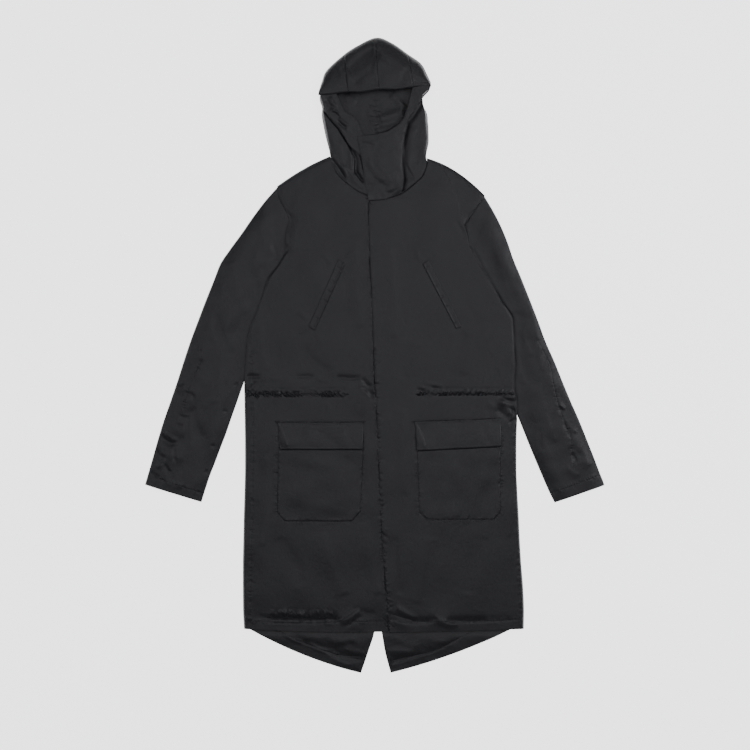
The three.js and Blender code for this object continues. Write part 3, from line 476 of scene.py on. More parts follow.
frontFolds = table(foldColumns, [
    [-150, 330, -110, 120, 30, 0.9], [-235, 120, -205, -20, 22, -0.8], [-120, 60, -60, -40, 34, 0.8],
    [-200, -110, -215, -240, 24, 0.7], [-60, -120, -90, -300, 30, -0.7], [-245, -330, -230, -520, 22, 0.8],
    [-60, -540, -30, -575, 14, 1.2], [120, 330, 90, 150, 30, 0.9], [240, 110, 180, -10, 26, 0.8],
    [60, 40, 110, -40, 30, 0.8], [262, -88, 292, -112, 12, 2.2], [262, -122, 300, -98, 12, -1.4],
    [200, -130, 240, -260, 30, 0.7], [280, -300, 262, -500, 24, 0.8], [30, -540, 70, -570, 12, 1.2],
    [120, -545, 180, -572, 16, 1.0]])


def overSleeve(half, x, y):
    # 1 where a sleeve lies under the body, stepping softly down to 0 inside it
    edge = readTable(armhole[half], "y", "x", y)
    return soft((sideOf[half] * (x - edge) + lay["foldSpread"]) / (lay["foldSpread"] - 2))


def insideEdge(half, x, y):
    # distance of a place inside the outer edge of a front
    return sideOf[half] * (readTable(frontRows[half], "outerY", "outerX", y) - x)


def belowShoulder(half, x, y):
    # distance of a place below the shoulder seam
    return readTable(shoulder[half], "x", "y", x) - y


def frontUnderside(half, x, y):
    # floor height plus loft, rolled down at side and shoulder, or the climb on to the sleeve
    side = sideOf[half]
    roll = mix(lay["edgeRoll"], lay["armholeRoll"], soft((y - frontLooks[half]["rollFrom"]) / 40))
    level = 0.05 + 0.4 * soft((y - lay["foldStart"]) / 20)
    rolled = quarter(insideEdge(half, x, y) / roll + level)
    rolled = rolled * quarter(belowShoulder(half, x, y) / lay["shoulderRoll"] + 0.15)
    climb = lay["climbRise"] + lay["climbMore"] * soft((lay["underarm"] + 70 - y) / 50)
    lift = climb * overSleeve(half, x, y) * soft((lay["foldStart"] + 28 - y) / 28)
    fold = armFold[half]
    top = fold["rows"]["y"][0]
    bottom = fold["rows"]["y"][-1]
    edge = readTable(fold["rows"], "y", "x", np.minimum(y, top))
    inner = soft(side * (edge - x) / fold["width"] + 0.5)
    fade = fold["rise"] * soft((top + 20 - y) / 40) * soft((y - bottom + 4) / 6)
    loft = lay["bodyLoft"] * mix(1, mix(0.82, 1, inner), fade)
    return lay["bodyFloor"] + np.maximum(loft * rolled, lift) + rolled * foldHeight(frontFolds, x, y)


def bodyUnderside(half, x, y):
    # the left front rises along the closing edge, where it lies on the right one
    under = frontUnderside(half, x, y)
    if half == "right":
        return mix(under, frontUnderside("left", x, y), soft((x + 20) / 20))
    inner = readTable(frontRows["right"], "innerY", "innerX", y)
    return under + lay["overlapRise"] * soft((inner + lay["underlapReach"] - x) / lay["underlapSlope"])


def closingEdge(y):
    # X of the left front's edge, where it lies on the right one
    return readTable(frontRows["left"], "innerY", "innerX", y)


def stackPoints(x, y, z):
    # one array of places from three arrays of coordinates
    return np.stack([x, y, z], axis=-1)


def rowGrid(rows, shares, count, coarse, zones):
    # places on a panel: rows read smoothly along the panel, and shares across each row
    middleX = (rows["innerX"] + rows["outerX"]) / 2
    middleY = (rows["innerY"] + rows["outerY"]) / 2
    knots = np.concatenate([[0], np.cumsum(np.hypot(np.diff(middleX), np.diff(middleY)))])
    at = spacing(knots[-1], coarse, zones, count)
    read = {name: smoothRead(knots, values, at)[:, None] for name, values in rows.items()}
    share = shares[None, :]
    x = mix(read["innerX"], read["outerX"], share)
    y = mix(read["innerY"], read["outerY"], share)
    if "bow" in rows:
        y = y + read["bow"] * 4 * share * (1 - share)
    return x, y


# Fronts: seams, pocket outlines and hems that pull the cloth into small puckers
waistLine = {"right": -76, "left": -75}
body = {"swellSeed": 40, "swellLength": 150, "swellSize": 0.75}
frontSeams = {
    "right": [
        {"path": [(-265, 95), (-260, 20), (-257, -60), (-256, -180), (-258, -330), (-261, -450), (-263, -575)],
         "groove": 0.2, "width": 1.8, "pitch": 15, "pucker": 0.75, "reach": 6, "seed": 11, "ticks": 0.15,
         "line": 0.1},
        {"path": [(-275, -556), (-150, -559), (-60, -557), (32, -557)],
         "groove": 0.35, "width": 1.4, "pitch": 11, "pucker": 0.35, "reach": 5, "seed": 12},
        {"path": [(-216, -540), (-150, -541), (-80, -540)], "ticks": 1.3, "tick": 9.0, "tickReach": 7.0,
         "line": 0},
        {"path": [(-94, 418), (-81, 384), (-57, 360), (-38, 346), (-17, 337)],
         "groove": 0.2, "width": 1.5, "pitch": 14, "pucker": 0.3, "reach": 5, "seed": 13, "line": 0.35},
        {"path": [(-205, 341), (-193, 315), (-181.7, 288)],
         "groove": 0.2, "width": 1.6, "pitch": 12, "pucker": 0.2, "reach": 6, "seed": 14, "ticks": 0.15},
        {"path": [(-17, 325), (-14.5, 285), (-11.5, 205), (-7.6, 118), (-4, 12), (-1.2, -60), (3.2, -140),
                  (9, -285), (13.6, -385), (21.5, -485), (28, -579)],
         "groove": 0.0, "pitch": 22, "pucker": 0.7, "reach": 5, "seed": 15, "line": 0.5},
        {"path": [(-205.5, -145), (-206, -235), (-206.5, -327), (-190, -347), (-48, -347.5), (-31, -328),
                  (-28, -285), (-24, -145)],
         "groove": 0.2, "width": 2.2, "pitch": 10, "pucker": 0.5, "reach": 5, "seed": 16, "line": 0.2},
        {"path": [(-205, -138.6), (-25, -138.6)], "ticks": 0.2, "tickReach": 3.5, "line": 0.55},
    ],
    "left": [
        {"path": [(293, -140), (292, -185), (293, -235), (297, -335), (302, -435), (307, -575)],
         "groove": 0.2, "width": 1.8, "pitch": 17, "pucker": 0.7, "reach": 6, "seed": 21, "ticks": 0.15,
         "line": 0.1},
        {"path": [(29, -557), (130, -557), (250, -556), (312, -552)],
         "groove": 0.35, "width": 1.4, "pitch": 11, "pucker": 0.35, "reach": 5, "seed": 22},
        {"path": [(140.7, 399), (149, 383), (165, 348), (178.5, 308), (190.6, 275)], "ticks": 0.1,
         "tickReach": 4.0},
        {"path": [(-14, 325), (20, 328), (55, 339), (78, 357), (101, 380), (109, 405)],
         "groove": 0.2, "width": 1.5, "pitch": 14, "pucker": 0.3, "reach": 5, "seed": 23, "line": 0.35},
        {"path": [(231, 334), (217, 317), (201, 293), (191, 274)],
         "groove": 0.2, "width": 1.6, "pitch": 12, "pucker": 0.2, "reach": 6, "seed": 24, "ticks": 0.15},
        {"path": [(-14, 325), (-14.5, 285), (-11.5, 205), (-7.6, 118), (-4, 12)],
         "groove": 0.0, "pitch": 15, "pucker": 0.9, "reach": 7, "seed": 25, "line": 0.6},
        {"path": [(-4, 12), (-1.2, -60), (3.2, -140), (9, -285), (13.6, -385), (21.5, -485), (28, -579)],
         "groove": 0.0, "pitch": 9.5, "pucker": 1.25, "reach": 8, "seed": 26, "line": 0.6, "ticks": 0.6,
         "tickReach": 8.0},
        {"path": [(86, -143), (88, -235), (91, -327), (109, -346), (249, -344), (265, -327),
                  (265, -235), (264, -143)],
         "groove": 0.2, "width": 2.2, "pitch": 10, "pucker": 0.5, "reach": 5, "seed": 27, "line": 0.2},
        {"path": [(82, -137.4), (264, -130.7)], "ticks": 0.2, "tickReach": 3.5, "line": 0.55},
    ],
}
gathers = {
    "right": {"fromX": -270, "toX": -64, "count": 17, "slant": 0.9, "seed": 31, "size": 1.9, "tick": 6.5,
              "tickReach": 5.0},
    "left": {"fromX": 92, "toX": 287, "count": 22, "slant": -0.7, "seed": 32, "size": 1.7, "tick": 5.0,
             "tickReach": 3.6},
}
# casing: its two pressed lines, the rise between them, the bunches with a pit beside each, and the fans
casingLook = {"lineAt": 5.5, "lowDepth": 1.3, "lowWidth": 2.6, "highDepth": 0.9, "highWidth": 3.0,
              "rise": 0.6, "riseWidth": 4, "bunchWidth": 6.5, "pit": 0.8, "pitWidth": 5.5, "pitLower": 3,
              "fanReach": (12, 42), "fanLean": 0.35, "fanHeight": (0.15, 0.6), "ridges": 3.4, "seamLower": 4}


def gatherHeight(half, x, y):
    # along the casing: slanted bells of uneven size between two pressed lines, with soft fans above and below
    line = gathers[half]
    dice = np.random.default_rng(line["seed"])
    middle = waistLine[half]
    pitch = (line["toX"] - line["fromX"]) / line["count"]
    inside = soft((x - line["fromX"]) / pitch + 0.5) * soft((line["toX"] - x) / pitch + 0.5)
    away = y - middle
    lower = bell((away + casingLook["lineAt"]) / casingLook["lowWidth"])
    upper = bell((away - casingLook["lineAt"]) / casingLook["highWidth"])
    pressed = -casingLook["lowDepth"] * lower - casingLook["highDepth"] * upper
    height = inside * (pressed + casingLook["rise"] * bell(away / casingLook["riseWidth"]))
    for place in range(line["count"]):
        centre = line["fromX"] + (place + dice.uniform(0.25, 0.75)) * pitch
        size = line["size"] * dice.uniform(0.45, 1.2)
        offset = x - centre + line["slant"] * away * dice.uniform(0.6, 1.4)
        width = pitch * dice.uniform(0.2, 0.34)
        height += size * bell(offset / width) * bell(away / casingLook["bunchWidth"])
        beside = bell((offset - 1.6 * width) / (0.7 * width))
        low = bell((away + casingLook["pitLower"]) / casingLook["pitWidth"])
        height -= casingLook["pit"] * size * beside * low
        reach = dice.uniform(*casingLook["fanReach"])
        lean = dice.uniform(-casingLook["fanLean"], casingLook["fanLean"])
        fan = dice.uniform(*casingLook["fanHeight"])
        offset = x - centre - lean * away
        below = soft(-away / 6) * np.exp(-np.maximum(-away, 0) / reach)
        above = soft(away / 6) * np.exp(-np.maximum(away, 0) / (0.6 * reach))
        height += fan * inside * (below + 0.7 * above) * bell(offset / (0.42 * pitch))
    return height


frontCreases = {
    "right": table(creaseColumns, [
        # waist: upper edge of the casing, and the fold that crosses it by the closing edge
        [-270, -45, -240, -45, 0, 1.5, 6, -2.8], [-166, -44, -128, -43, 1, 1.5, 5, -1.6],
        [-82, -45, -30, -47, 2, 1.5, 6, -2.2], [-28, -48, -8, -67, 2, 2, 6, -2.4],
        [-29, -65, -3, -90, -2, 2, 8, -3.0], [-34, -58, -12, -82, 0, 4, 4, 1.2],
        [-250, -52, -262, -72, 0, 3, 6, -1.8], [-236, -50, -246, -68, 0, 3, 5, -1.2],
        [-122, -46, -98, -50, 2, 5, 3, 0.8], [-222, -50, -196, -46, -2, 6, 3, 0.7],
        # underarm
        [-204, 246, -198, 205, 3, 6, 4, 1.6], [-208, 258, -204, 232, 0, 4, 2.5, -2.0],
        [-232, 170, -228, 148, 3, 5, 3, -2.0], [-236, 166, -238, 120, 1, 3, 2, -1.3],
        [-192, 285, -182, 230, 3, 7, 5, 1.4], [-200, 236, -172, 214, 2, 9, 5, -0.8],
        # pulls at the ends of the chest welt
        [-92, 190, -112, 214, 2, 5, 3, 0.8], [-62, 208, -38, 218, -2, 6, 3, 0.7],
        [-142, 74, -164, 92, 2, 6, 3, 0.9], [-140, 56, -170, 48, -2, 6, 3, -0.8],
        [-120, 48, -112, 26, 1, 5, 3, 0.7], [-86, 160, -66, 176, 1, 4, 3, -0.6],
        # hem
        [-220, -557, -150, -558, 0, 2, 15, -4.0], [-150, -558, -78, -556, 0, 2, 15, -4.0],
        [-190, -530, -182, -556, 2, 5, 3, 1.4], [-160, -534, -150, -560, -2, 6, 3, 1.5],
        [-134, -538, -128, -562, 1, 5, 3, 1.3], [-108, -540, -92, -562, 2, 6, 3, 1.4],
        [-72, -556, -34, -530, 3, 11, 3, 2.6], [-62, -566, -28, -544, 2, 4, 6, -1.6],
        [-44, -528, 2, -540, 4, 12, 6, -0.9], [-246, -544, -214, -548, 2, 8, 4, -1.0],
        # long soft folds down the front
        [-40, 250, -28, 60, 6, 16, 9, 0.7], [-150, 20, -90, -34, 8, 18, 9, -0.8],
        [-240, 60, -226, -30, 5, 12, 7, 0.8], [-30, -120, -22, -300, 4, 12, 7, -0.6],
        [-228, -210, -236, -400, -4, 12, 7, 0.7], [-110, -370, -60, -500, 8, 20, 10, 0.7],
        [-200, -380, -150, -480, -6, 18, 10, -0.6], [-20, -350, 10, -500, 5, 14, 8, 0.6],
    ]),
    "left": table(creaseColumns, [
        # waist: fan of folds at the inner end, and the bunch by the side
        [88, -68, 118, -78, 2, 6, 3, -2.2], [92, -66, 124, -70, -1, 4, 3, 1.6],
        [96, -62, 136, -66, 2, 7, 3, -1.2], [104, -56, 140, -62, 0, 6, 4, 0.8],
        [258, -80, 292, -96, 3, 6, 3, -2.8], [262, -92, 288, -124, -3, 6, 3, 2.2],
        [270, -98, 296, -118, 2, 5, 3, -2.4], [276, -84, 298, -88, 0, 5, 3, 1.8],
        [254, -104, 282, -132, 2, 7, 3, -1.4], [280, -140, 298, -132, 0, 5, 3, -1.8],
        [236, -92, 262, -112, 3, 8, 4, 0.9], [290, -104, 296, -136, 0, 4, 2, -1.6],
        # fold from the shoulder
        [172, 282, 196, 250, 2, 7, 3, -0.6], [176, 292, 200, 246, 2, 5, 3, 0.4],
        # pulls at the ends of the chest welt
        [96, 196, 84, 216, 1, 5, 3, 0.8], [110, 206, 130, 222, 1, 6, 3, 0.6],
        [184, 58, 204, 44, 2, 5, 3, 0.7], [168, 52, 160, 30, 1, 5, 3, 0.6],
        # hem
        [26, -548, 92, -560, 2, 2, 12, -3.6], [46, -524, 90, -550, 4, 8, 5, 1.8],
        [92, -558, 134, -550, 4, 2, 9, -2.8], [124, -544, 174, -562, 6, 7, 4, 2.0],
        [150, -558, 236, -556, 0, 2, 9, -2.8], [236, -555, 290, -555, 0, 3, 8, -0.9],
        # long soft folds down the front
        [30, 230, 40, 40, -5, 16, 9, 0.7], [90, 20, 60, -50, 5, 16, 9, -0.7],
        [210, 60, 190, -40, 5, 14, 8, 0.8], [60, -110, 66, -290, 4, 12, 7, 0.6],
        [276, -200, 282, -380, -4, 10, 6, 0.7], [120, -380, 90, -520, 6, 20, 10, 0.7],
        [230, -380, 200, -500, 6, 20, 10, -0.6], [44, -380, 54, -500, 5, 13, 7, -0.6],
    ]),
}


flapCorners = {
    "right": [(-25.6, -139.4), (-204.5, -139.4), (-24.8, -195.7), (-198.7, -195.7)],
    "left": [(82.9, -138.2), (263.3, -131.5), (88.6, -198.5), (265.2, -189.2)],
}


flapPress = {"freeDepth": 1.7, "freeWidth": 1.5, "topDepth": 0.5, "topWidth": 2.6}


def pressedByFlap(half, x, y):
    # a groove just outside the flap's free edges and a finer one along its sewn top
    topIn, topOut, lowIn, lowOut = flapCorners[half]
    free = [topOut, lowOut, lowIn] if half == "right" else [topIn, lowIn, lowOut]
    height = -flapPress["freeDepth"] * bell(pathPlace(free, x, y)[1] / flapPress["freeWidth"])
    top = pathPlace([topIn, topOut], x, y)[1] / flapPress["topWidth"]
    return np.minimum(height, -flapPress["topDepth"] * bell(top))


# rollFrom: Y from which the side rolls over the armhole; edgeFrom, spread: where and how broadly its edge
# bends down; finer: stretches across the front with closer columns
frontLooks = {
    "right": {"rollFrom": 200, "edgeFrom": 190, "spread": 12, "width": 330.0,
              "finer": [(0.0, 8.0, 5.0), (45.0, 75.0, 1.7), (304.0, 330.0, 1.7)],
              "cut": (0.355, 0.98, 0.298, ["back_right"])},
    "left": {"rollFrom": 270, "edgeFrom": 225, "spread": 4, "width": 300.0,
             "finer": [(0.0, 26.0, 1.3), (274.0, 300.0, 1.7)],
             "cut": (0.325, 0.98, 0.266, ["back_left"])},
}
# waist, hem: stretches down the front with closer rows
frontSize = {"columns": 118, "rows": 385, "waist": (400.0, 445.0, 1.8), "hem": (890.0, 950.0, 2.0)}
# how far the edges bend down: the side's low and high part, and the closing edge
frontDrop = {"side": (1.1, 1.9), "closing": 1.3, "closingWidth": 4}
# plain: share of its detail that the right front loses where it goes under the left one
underlap = {"plain": 0.95, "fromEdge": 1, "over": 7}


def frontHeight(half, x, y):
    # upper face of a front: the solid's, plus seams, gathers, creases and a slow swell, faded at hidden parts
    side = sideOf[half]
    look = frontLooks[half]
    top = bodyUnderside(half, x, y) + lay["wall"] + pressedByFlap(half, x, y)
    detail = creaseHeight(frontCreases[half], x, y) + gatherHeight(half, x, y)
    detail = detail + swell(x, y, body["swellSeed"] + side, body["swellLength"], body["swellSize"])
    for seam in frontSeams[half]:
        detail = detail + seamHeight(x, y, seam)
    edge = insideEdge(half, x, y)
    seen = quarter(edge / 8 + 0.25)
    if half == "right":
        # the part under the left front is plain and a little lower
        hidden = soft((x - closingEdge(y) - underlap["fromEdge"]) / underlap["over"])
        seen = seen * (1 - underlap["plain"] * hidden)
        top = top - lay["wall"] * hidden
    top = top + detail * seen
    # the free edges bend down on to what lies under them
    high = soft((y - look["edgeFrom"]) / 40)
    drop = mix(*frontDrop["side"], high) * (1 - quarter(edge / mix(4, look["spread"], high)))
    top = top - drop * soft((lay["foldStart"] + 10 - y) / 20)
    if half == "left":
        top = top - frontDrop["closing"] * (1 - quarter((x - closingEdge(y)) / frontDrop["closingWidth"]))
    return top


def makeFront(half):
    # a grid over the front's rows, closer at the waist, hem and edges, raised to the front's height
    look = frontLooks[half]
    shares = spacing(look["width"], 3.2, look["finer"], frontSize["columns"]) / look["width"]
    x, y = rowGrid(frontRows[half], shares, frontSize["rows"], 2.9, [frontSize["waist"], frontSize["hem"]])
    z = frontHeight(half, x, y)
    line = gathers[half]
    seamY = waistLine[half] - casingLook["seamLower"]
    casing = {"path": [(line["fromX"], seamY), (line["toX"], seamY)],
              "tick": line["tick"], "tickReach": line["tickReach"], "ticks": casingLook["ridges"],
              "slant": line["slant"], "line": 0.6}
    addSheet(f"front_{half}", stackPoints(x, y, z), shellCloth,
             seams=[*frontSeams[half], casing])


# Backs: hidden but for the tail, whose hem is turned up and whose left half is the more crumpled
backRows = {
    "right": table("innerX innerY outerX outerY peak bow", [
        [3.8, 405, -205.2, 355, 35, 0], [3.8, 385, -203.9, 340.1, 20, 0], [3.8, 350, -192.9, 315.3, 6, 0],
        [3.8, 310, -181.1, 288, 0, 0], [3.8, 262, -175.4, 253.3, 0, 0], [3.8, 226, -173.9, 223.6, 0, 0],
        [3.8, 186, -178.4, 186.4, 0, 0], [3.8, 149, -188.4, 149.2, 0, 0], [3.8, 110, -217.6, 107.6, 0, 0],
        [3.8, 95, -246, 95, 0, 0], [3.8, 70, -256, 70, 0, 0], [3.8, 49, -263, 49, 0, 0],
        [3.8, 12, -267, 12, 0, 0], [3.8, -44, -271, -44, 0, 0], [3.8, -108, -271, -108, 0, 0],
        [3.8, -185, -270, -185, 0, 0], [3.8, -300, -271.5, -300, 0, 0], [3.8, -400, -274, -400, 0, 0],
        [3.8, -480, -274.5, -480, 0, 0], [3.8, -540, -274.3, -520, 0, 0], [-1.5, -580, -274, -545, 0, -3],
        [-14, -620, -273.5, -558, 0, -6], [-29.5, -665.3, -273, -568, 0, -10]]),
    "left": table("innerX innerY outerX outerY peak bow", [
        [4.2, 405, 230.4, 336, 38, 0], [4.2, 385, 220.4, 322.3, 20, 0], [4.2, 345, 204.4, 299.4, 6, 0],
        [4.2, 300, 190.9, 274.2, 0, 0], [4.2, 248, 184.4, 242.1, 0, 0], [4.2, 216, 181.9, 214.6, 0, 0],
        [4.2, 180, 183, 180.3, 0, 0], [4.2, 146, 189.4, 145.9, 0, 0], [4.2, 108, 203.1, 107.4, 0, 0],
        [4.2, 98, 262, 98, 0, 0], [4.2, 80, 284, 79, 0, 0], [4.2, 48, 286, 48, 0, 0],
        [4.2, 12, 288, 12, 0, 0], [4.2, -44, 288, -44, 0, 0], [4.2, -104, 292, -104, 0, 0],
        [4.2, -185, 293, -185, 0, 0], [4.2, -300, 296.5, -300, 0, 0], [4.2, -400, 301.5, -400, 0, 0],
        [4.2, -480, 307, -480, 0, 0], [4.2, -540, 309.5, -520, 0, 0], [14, -580, 309.7, -540, 0, -3],
        [21, -620, 309.6, -552, 0, -6], [33, -665, 309.4, -562, 0, -9]]),
}
tailSeams = {
    "right": [
        {"path": [(-198, -580), (-118, -615), (-79, -628), (-27, -632)],
         "groove": 0.5, "width": 1.5, "pitch": 12, "pucker": 0.5, "reach": 6, "seed": 51, "ticks": 0.2},
        {"path": [(-5, -589), (-30, -665)], "groove": 0.2, "pitch": 12, "pucker": 0.5, "reach": 6, "seed": 52},
    ],
    "left": [
        {"path": [(194, -583), (125, -620), (34, -640)],
         "groove": 0.5, "width": 1.5, "pitch": 12, "pucker": 0.4, "reach": 6, "seed": 53, "ticks": 0.2},
        {"path": [(17, -589), (33, -665)], "groove": 0.2, "pitch": 12, "pucker": 0.4, "reach": 6, "seed": 54},
    ],
}
tailCreases = {
    "right": table(creaseColumns, [
        [-176, -590, -84, -628, 0, 2, 9, -1.8], [-100, -622, -24, -640, 2, 2, 12, -2.0],
        [-190, -584, -150, -602, 2, 5, 3, 0.9], [-150, -590, -112, -596, -3, 6, 3, 1.6],
        [-140, -600, -96, -620, 3, 5, 3, 1.3], [-100, -586, -58, -600, 4, 7, 3, 1.7],
        [-84, -600, -40, -594, -3, 7, 4, 1.5], [-66, -612, -24, -622, 2, 6, 3, 1.5],
        [-52, -588, -18, -606, 3, 6, 3, 1.3], [-92, -632, -50, -648, 2, 6, 3, 1.0],
        [-118, -606, -84, -612, 0, 5, 3, -0.6], [-46, -640, -34, -660, 0, 5, 3, 0.8]]),
    "left": table(creaseColumns, [
        [40, -590, 96, -606, 4, 9, 5, 1.2], [30, -618, 80, -624, -3, 9, 5, 1.0],
        [34, -646, 122, -620, 0, 2, 11, -1.9], [118, -622, 172, -596, 0, 2, 6, -1.2],
        [110, -590, 150, -600, 2, 8, 4, 0.9]]),
}
backCreases = {
    "right": table(creaseColumns, [
        [-150, 250, -90, 160, 5, 12, 6, 0.9], [-60, 120, -120, -40, 6, 14, 8, 0.8],
        [-200, -60, -150, -70, 2, 6, 3, 1.0], [-120, -66, -60, -72, 2, 6, 3, 0.9],
        [-220, -200, -180, -380, 6, 14, 8, 0.8], [-80, -260, -110, -460, 5, 16, 8, 0.7]]),
    "left": table(creaseColumns, [
        [160, 240, 100, 130, 5, 12, 6, 0.9], [50, 90, 130, -40, 6, 14, 8, 0.8],
        [210, -62, 150, -72, 2, 6, 3, 1.0], [120, -66, 50, -70, 2, 6, 3, 0.9],
        [230, -180, 190, -360, 6, 14, 8, 0.8], [90, -250, 70, -440, 5, 16, 8, 0.7]]),
}


# neckShare: where across the back the neck is; tailTop: Y where the tail begins, and base, the height of its
# crumpled cloth over the plain one; edge, tail: stretches with closer columns and rows
backSize = {"width": 276.0, "columns": 64, "rows": 230, "edge": (262.0, 276.0, 3.0),
            "tail": (985.0, 1070.0, 1.8), "neckShare": 0.46, "tailTop": -578, "base": 1.8, "plain": 0.35,
            "seamShare": 0.6}


def makeBack(half):
    # a grid whose rows peak at the neck: flat on the floor or over the sleeve, crumpled only in the tail
    rows = backRows[half]
    width = backSize["width"]
    shares = spacing(width, 4.4, [backSize["edge"]], backSize["columns"]) / width
    x, y = rowGrid(rows, shares, backSize["rows"], 8.0, [backSize["tail"]])
    share = shares[None, :]
    neckShare = backSize["neckShare"]
    tent = np.where(share < neckShare, share / neckShare, (1 - share) / (1 - neckShare))
    middle = (rows["innerY"] + rows["outerY"]) / 2
    y = y + readTable({"y": middle, "peak": rows["peak"]}, "y", "peak", y) * tent
    gate = soft((lay["underarm"] + 55 - y) / 50)
    under = (lay["sleeveEdge"] + lay["layerGap"]) * gate * overSleeve(half, x, y)
    tail = soft((backSize["tailTop"] - y) / 10)
    crumpled = backSize["base"] + creaseHeight(tailCreases[half], x, y) + swell(x, y, 60, 70, 0.6)
    detail = backSize["plain"] + np.maximum(crumpled, 0) * tail
    for seam in tailSeams[half]:
        detail = detail + backSize["seamShare"] * seamHeight(x, y, seam) * tail
    hidden = np.clip(creaseHeight(backCreases[half], x, y), 0, 1.0) * (1 - tail)
    z = under + lay["cloth"] + np.maximum(detail, 0) + hidden
    # the backs take the darker copy of the cloth: painted shade
    addSheet(f"back_{half}", stackPoints(x, y, z), paintedShadeBackCloth, seams=tailSeams[half])


# Sleeves: flattened tubes with a seam down the forearm, crumpled at the elbow and above the cuff
sleeveRows = {
    "right": table("outerX outerY innerX innerY", [
        [-206, 355, -218.4, 107], [-232, 325, -221, 99], [-257, 291, -224.5, 89], [-281, 256, -229, 76],
        [-304.5, 223.7, -234, 62], [-325, 193, -240, 44], [-338, 160, -247, 24], [-355, 117.6, -257, -4],
        [-372, 73, -267.5, -34], [-388, 30, -279, -66], [-402, -12, -290, -98], [-415, -53, -302, -132],
        [-429, -94, -313, -164], [-443, -134, -323, -190], [-456, -176, -335, -222], [-467, -215, -346, -250],
        [-476, -246, -356, -280], [-483, -270, -364.4, -306.6]]),
    "left": table("outerX outerY innerX innerY", [
        [231, 336, 203.7, 107], [251, 301, 207.6, 98], [267, 268, 211.5, 89], [280, 235, 216, 79],
        [290, 205, 221, 67.5], [306, 166.7, 228, 51], [325.5, 117.6, 237.5, 28], [342, 75, 248, 2],
        [358, 31, 259, -26], [377, -12, 270, -54], [394, -54, 283, -86], [411, -95, 296.5, -119],
        [428.4, -134.4, 311, -155], [446, -178, 327.5, -196], [461, -216, 343, -233], [472, -245, 358, -268],
        [478, -260, 368, -290], [482, -271, 377, -307.7]]),
}
armholeStations = np.array([0, 0.06, 0.16, 0.27, 0.41, 0.53, 0.68, 0.83, 1])
sleeveFolds = table(foldColumns, [
    [-330, 150, -300, 40, 22, 1.2], [-440, -172, -395, -180, 12, -1.8], [-435, -205, -405, -215, 10, 1.4],
    [-400, -90, -345, -60, 18, 1.0], [-370, -150, -340, -250, 16, -1.0], [300, 150, 330, 40, 22, 1.2],
    [385, -60, 420, -160, 16, -1.0], [340, -150, 365, -250, 18, 1.0], [430, -215, 455, -235, 10, 1.2]])
sleeveSeams = {
    "right": [
        {"path": [(-368, 22), (-363, -10), (-375, -32), (-392, -70), (-402, -110)],
         "groove": 0.35, "width": 2.0, "pitch": 14, "pucker": 0.7, "reach": 6, "seed": 61},
        {"path": [(-475, -247), (-440, -262), (-400, -276), (-360, -288)],
         "groove": 0.5, "width": 1.6, "pitch": 10, "pucker": 0.5, "reach": 6, "seed": 62},
        {"path": [(-206, 352), (-204.5, 340.1), (-193.5, 315.3), (-181.7, 288)],
         "groove": 0.15, "width": 1.6, "pitch": 12, "pucker": 0.2, "reach": 6, "seed": 63, "ticks": 0.15},
    ],
    "left": [
        {"path": [(341, 34), (367, -15), (374, -57), (383, -97), (388, -113), (402, -150), (410, -170),
                  (413, -202), (416, -229)],
         "groove": 0.35, "width": 2.0, "pitch": 14, "pucker": 0.6, "reach": 6, "seed": 64},
        {"path": [(477, -247), (440, -262), (400, -277), (366, -289)],
         "groove": 0.4, "width": 1.6, "pitch": 11, "pucker": 0.35, "reach": 5, "seed": 65},
        {"path": [(231, 334), (217, 317), (201, 293), (191.5, 274)],
         "groove": 0.15, "width": 1.6, "pitch": 12, "pucker": 0.2, "reach": 6, "seed": 66, "ticks": 0.15},
    ],
}
